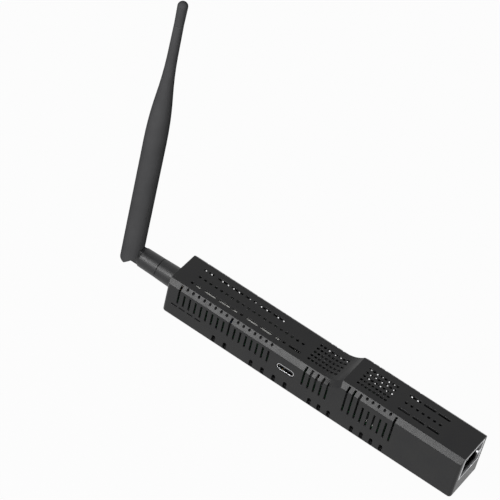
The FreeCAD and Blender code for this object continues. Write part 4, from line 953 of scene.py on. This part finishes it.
def make_floor():
    shape = bmesh.new()
    bmesh.ops.create_grid(shape, x_segments=1, y_segments=1, size=FLOOR_REACH,
                          matrix=Matrix.Translation((0, 0, -FLOOR_GAP * MM)))
    mesh = mesh_of("studio_floor", shape)
    mesh.materials.append(floor_paper())
    link_object("studio_floor", mesh)


def light_air():
    """World that is white to look at and lights the stick only a little."""
    world = bpy.data.worlds.new("studio_air")
    world.use_nodes = True
    tree = world.node_tree
    tree.nodes.clear()
    strength = add_node(tree, "ShaderNodeMapRange", {"To Min": AIR_FILL, "To Max": AIR_WHITE},
                        {"Value": looked_at(tree)})
    air = add_node(tree, "ShaderNodeBackground", {"Color": srgb("#ffffff")},
                   {"Strength": strength.outputs["Result"]})
    add_node(tree, "ShaderNodeOutputWorld", None, {"Surface": air.outputs["Background"]})
    bpy.context.scene.world = world


def add_softbox(name, direction, distance, width, height, power):
    """Area lamp that looks at the stick from a direction."""
    lamp = bpy.data.lights.new(name, "AREA")
    lamp.shape = "RECTANGLE"
    lamp.size = width
    lamp.size_y = height
    lamp.energy = power
    towards = Vector(direction).normalized()
    turn = towards.to_track_quat("Z", "Y").to_matrix().to_4x4()
    link_object(name, lamp).matrix_world = Matrix.Translation(towards * distance) @ turn


def make_camera():
    """Camera of the photograph, from the direction it looks, its roll and its distance."""
    flat = math.cos(CAMERA_ELEVATION)
    back = Vector((math.sin(CAMERA_AZIMUTH) * flat, -math.cos(CAMERA_AZIMUTH) * flat,
                   math.sin(CAMERA_ELEVATION)))
    level = (-back).cross(Vector((0, 0, 1))).normalized()
    upright = level.cross(-back)
    right = math.cos(CAMERA_ROLL) * level + math.sin(CAMERA_ROLL) * upright
    up = math.cos(CAMERA_ROLL) * upright - math.sin(CAMERA_ROLL) * level
    camera = bpy.data.cameras.new("photo_camera")
    camera.sensor_width = CAMERA_SENSOR
    camera.lens = CAMERA_LENS
    camera.clip_start = CAMERA_NEAR
    holder = link_object("photo_camera", camera)
    turn = Matrix((right, up, back)).transposed().to_4x4()
    holder.matrix_world = Matrix.Translation(CAMERA_TARGET + back * CAMERA_DISTANCE) @ turn
    bpy.context.scene.camera = holder


make_camera()
light_air()
for lamp_name, lamp_values in SOFTBOXES.items():
    add_softbox(lamp_name, *lamp_values)
make_floor()
dress_nodes()
for cad_node, edge_size in EDGE_ROUNDING.items():
    finish_node(cad_node, edge_size)
domed_cap()
make_jack_contacts()
make_jack_tabs()
make_jack_lip()
make_light_pipes()
make_port_pads()
make_chip_leads()
make_small_parts()
bpy.context.scene.view_settings.view_transform = "Standard"
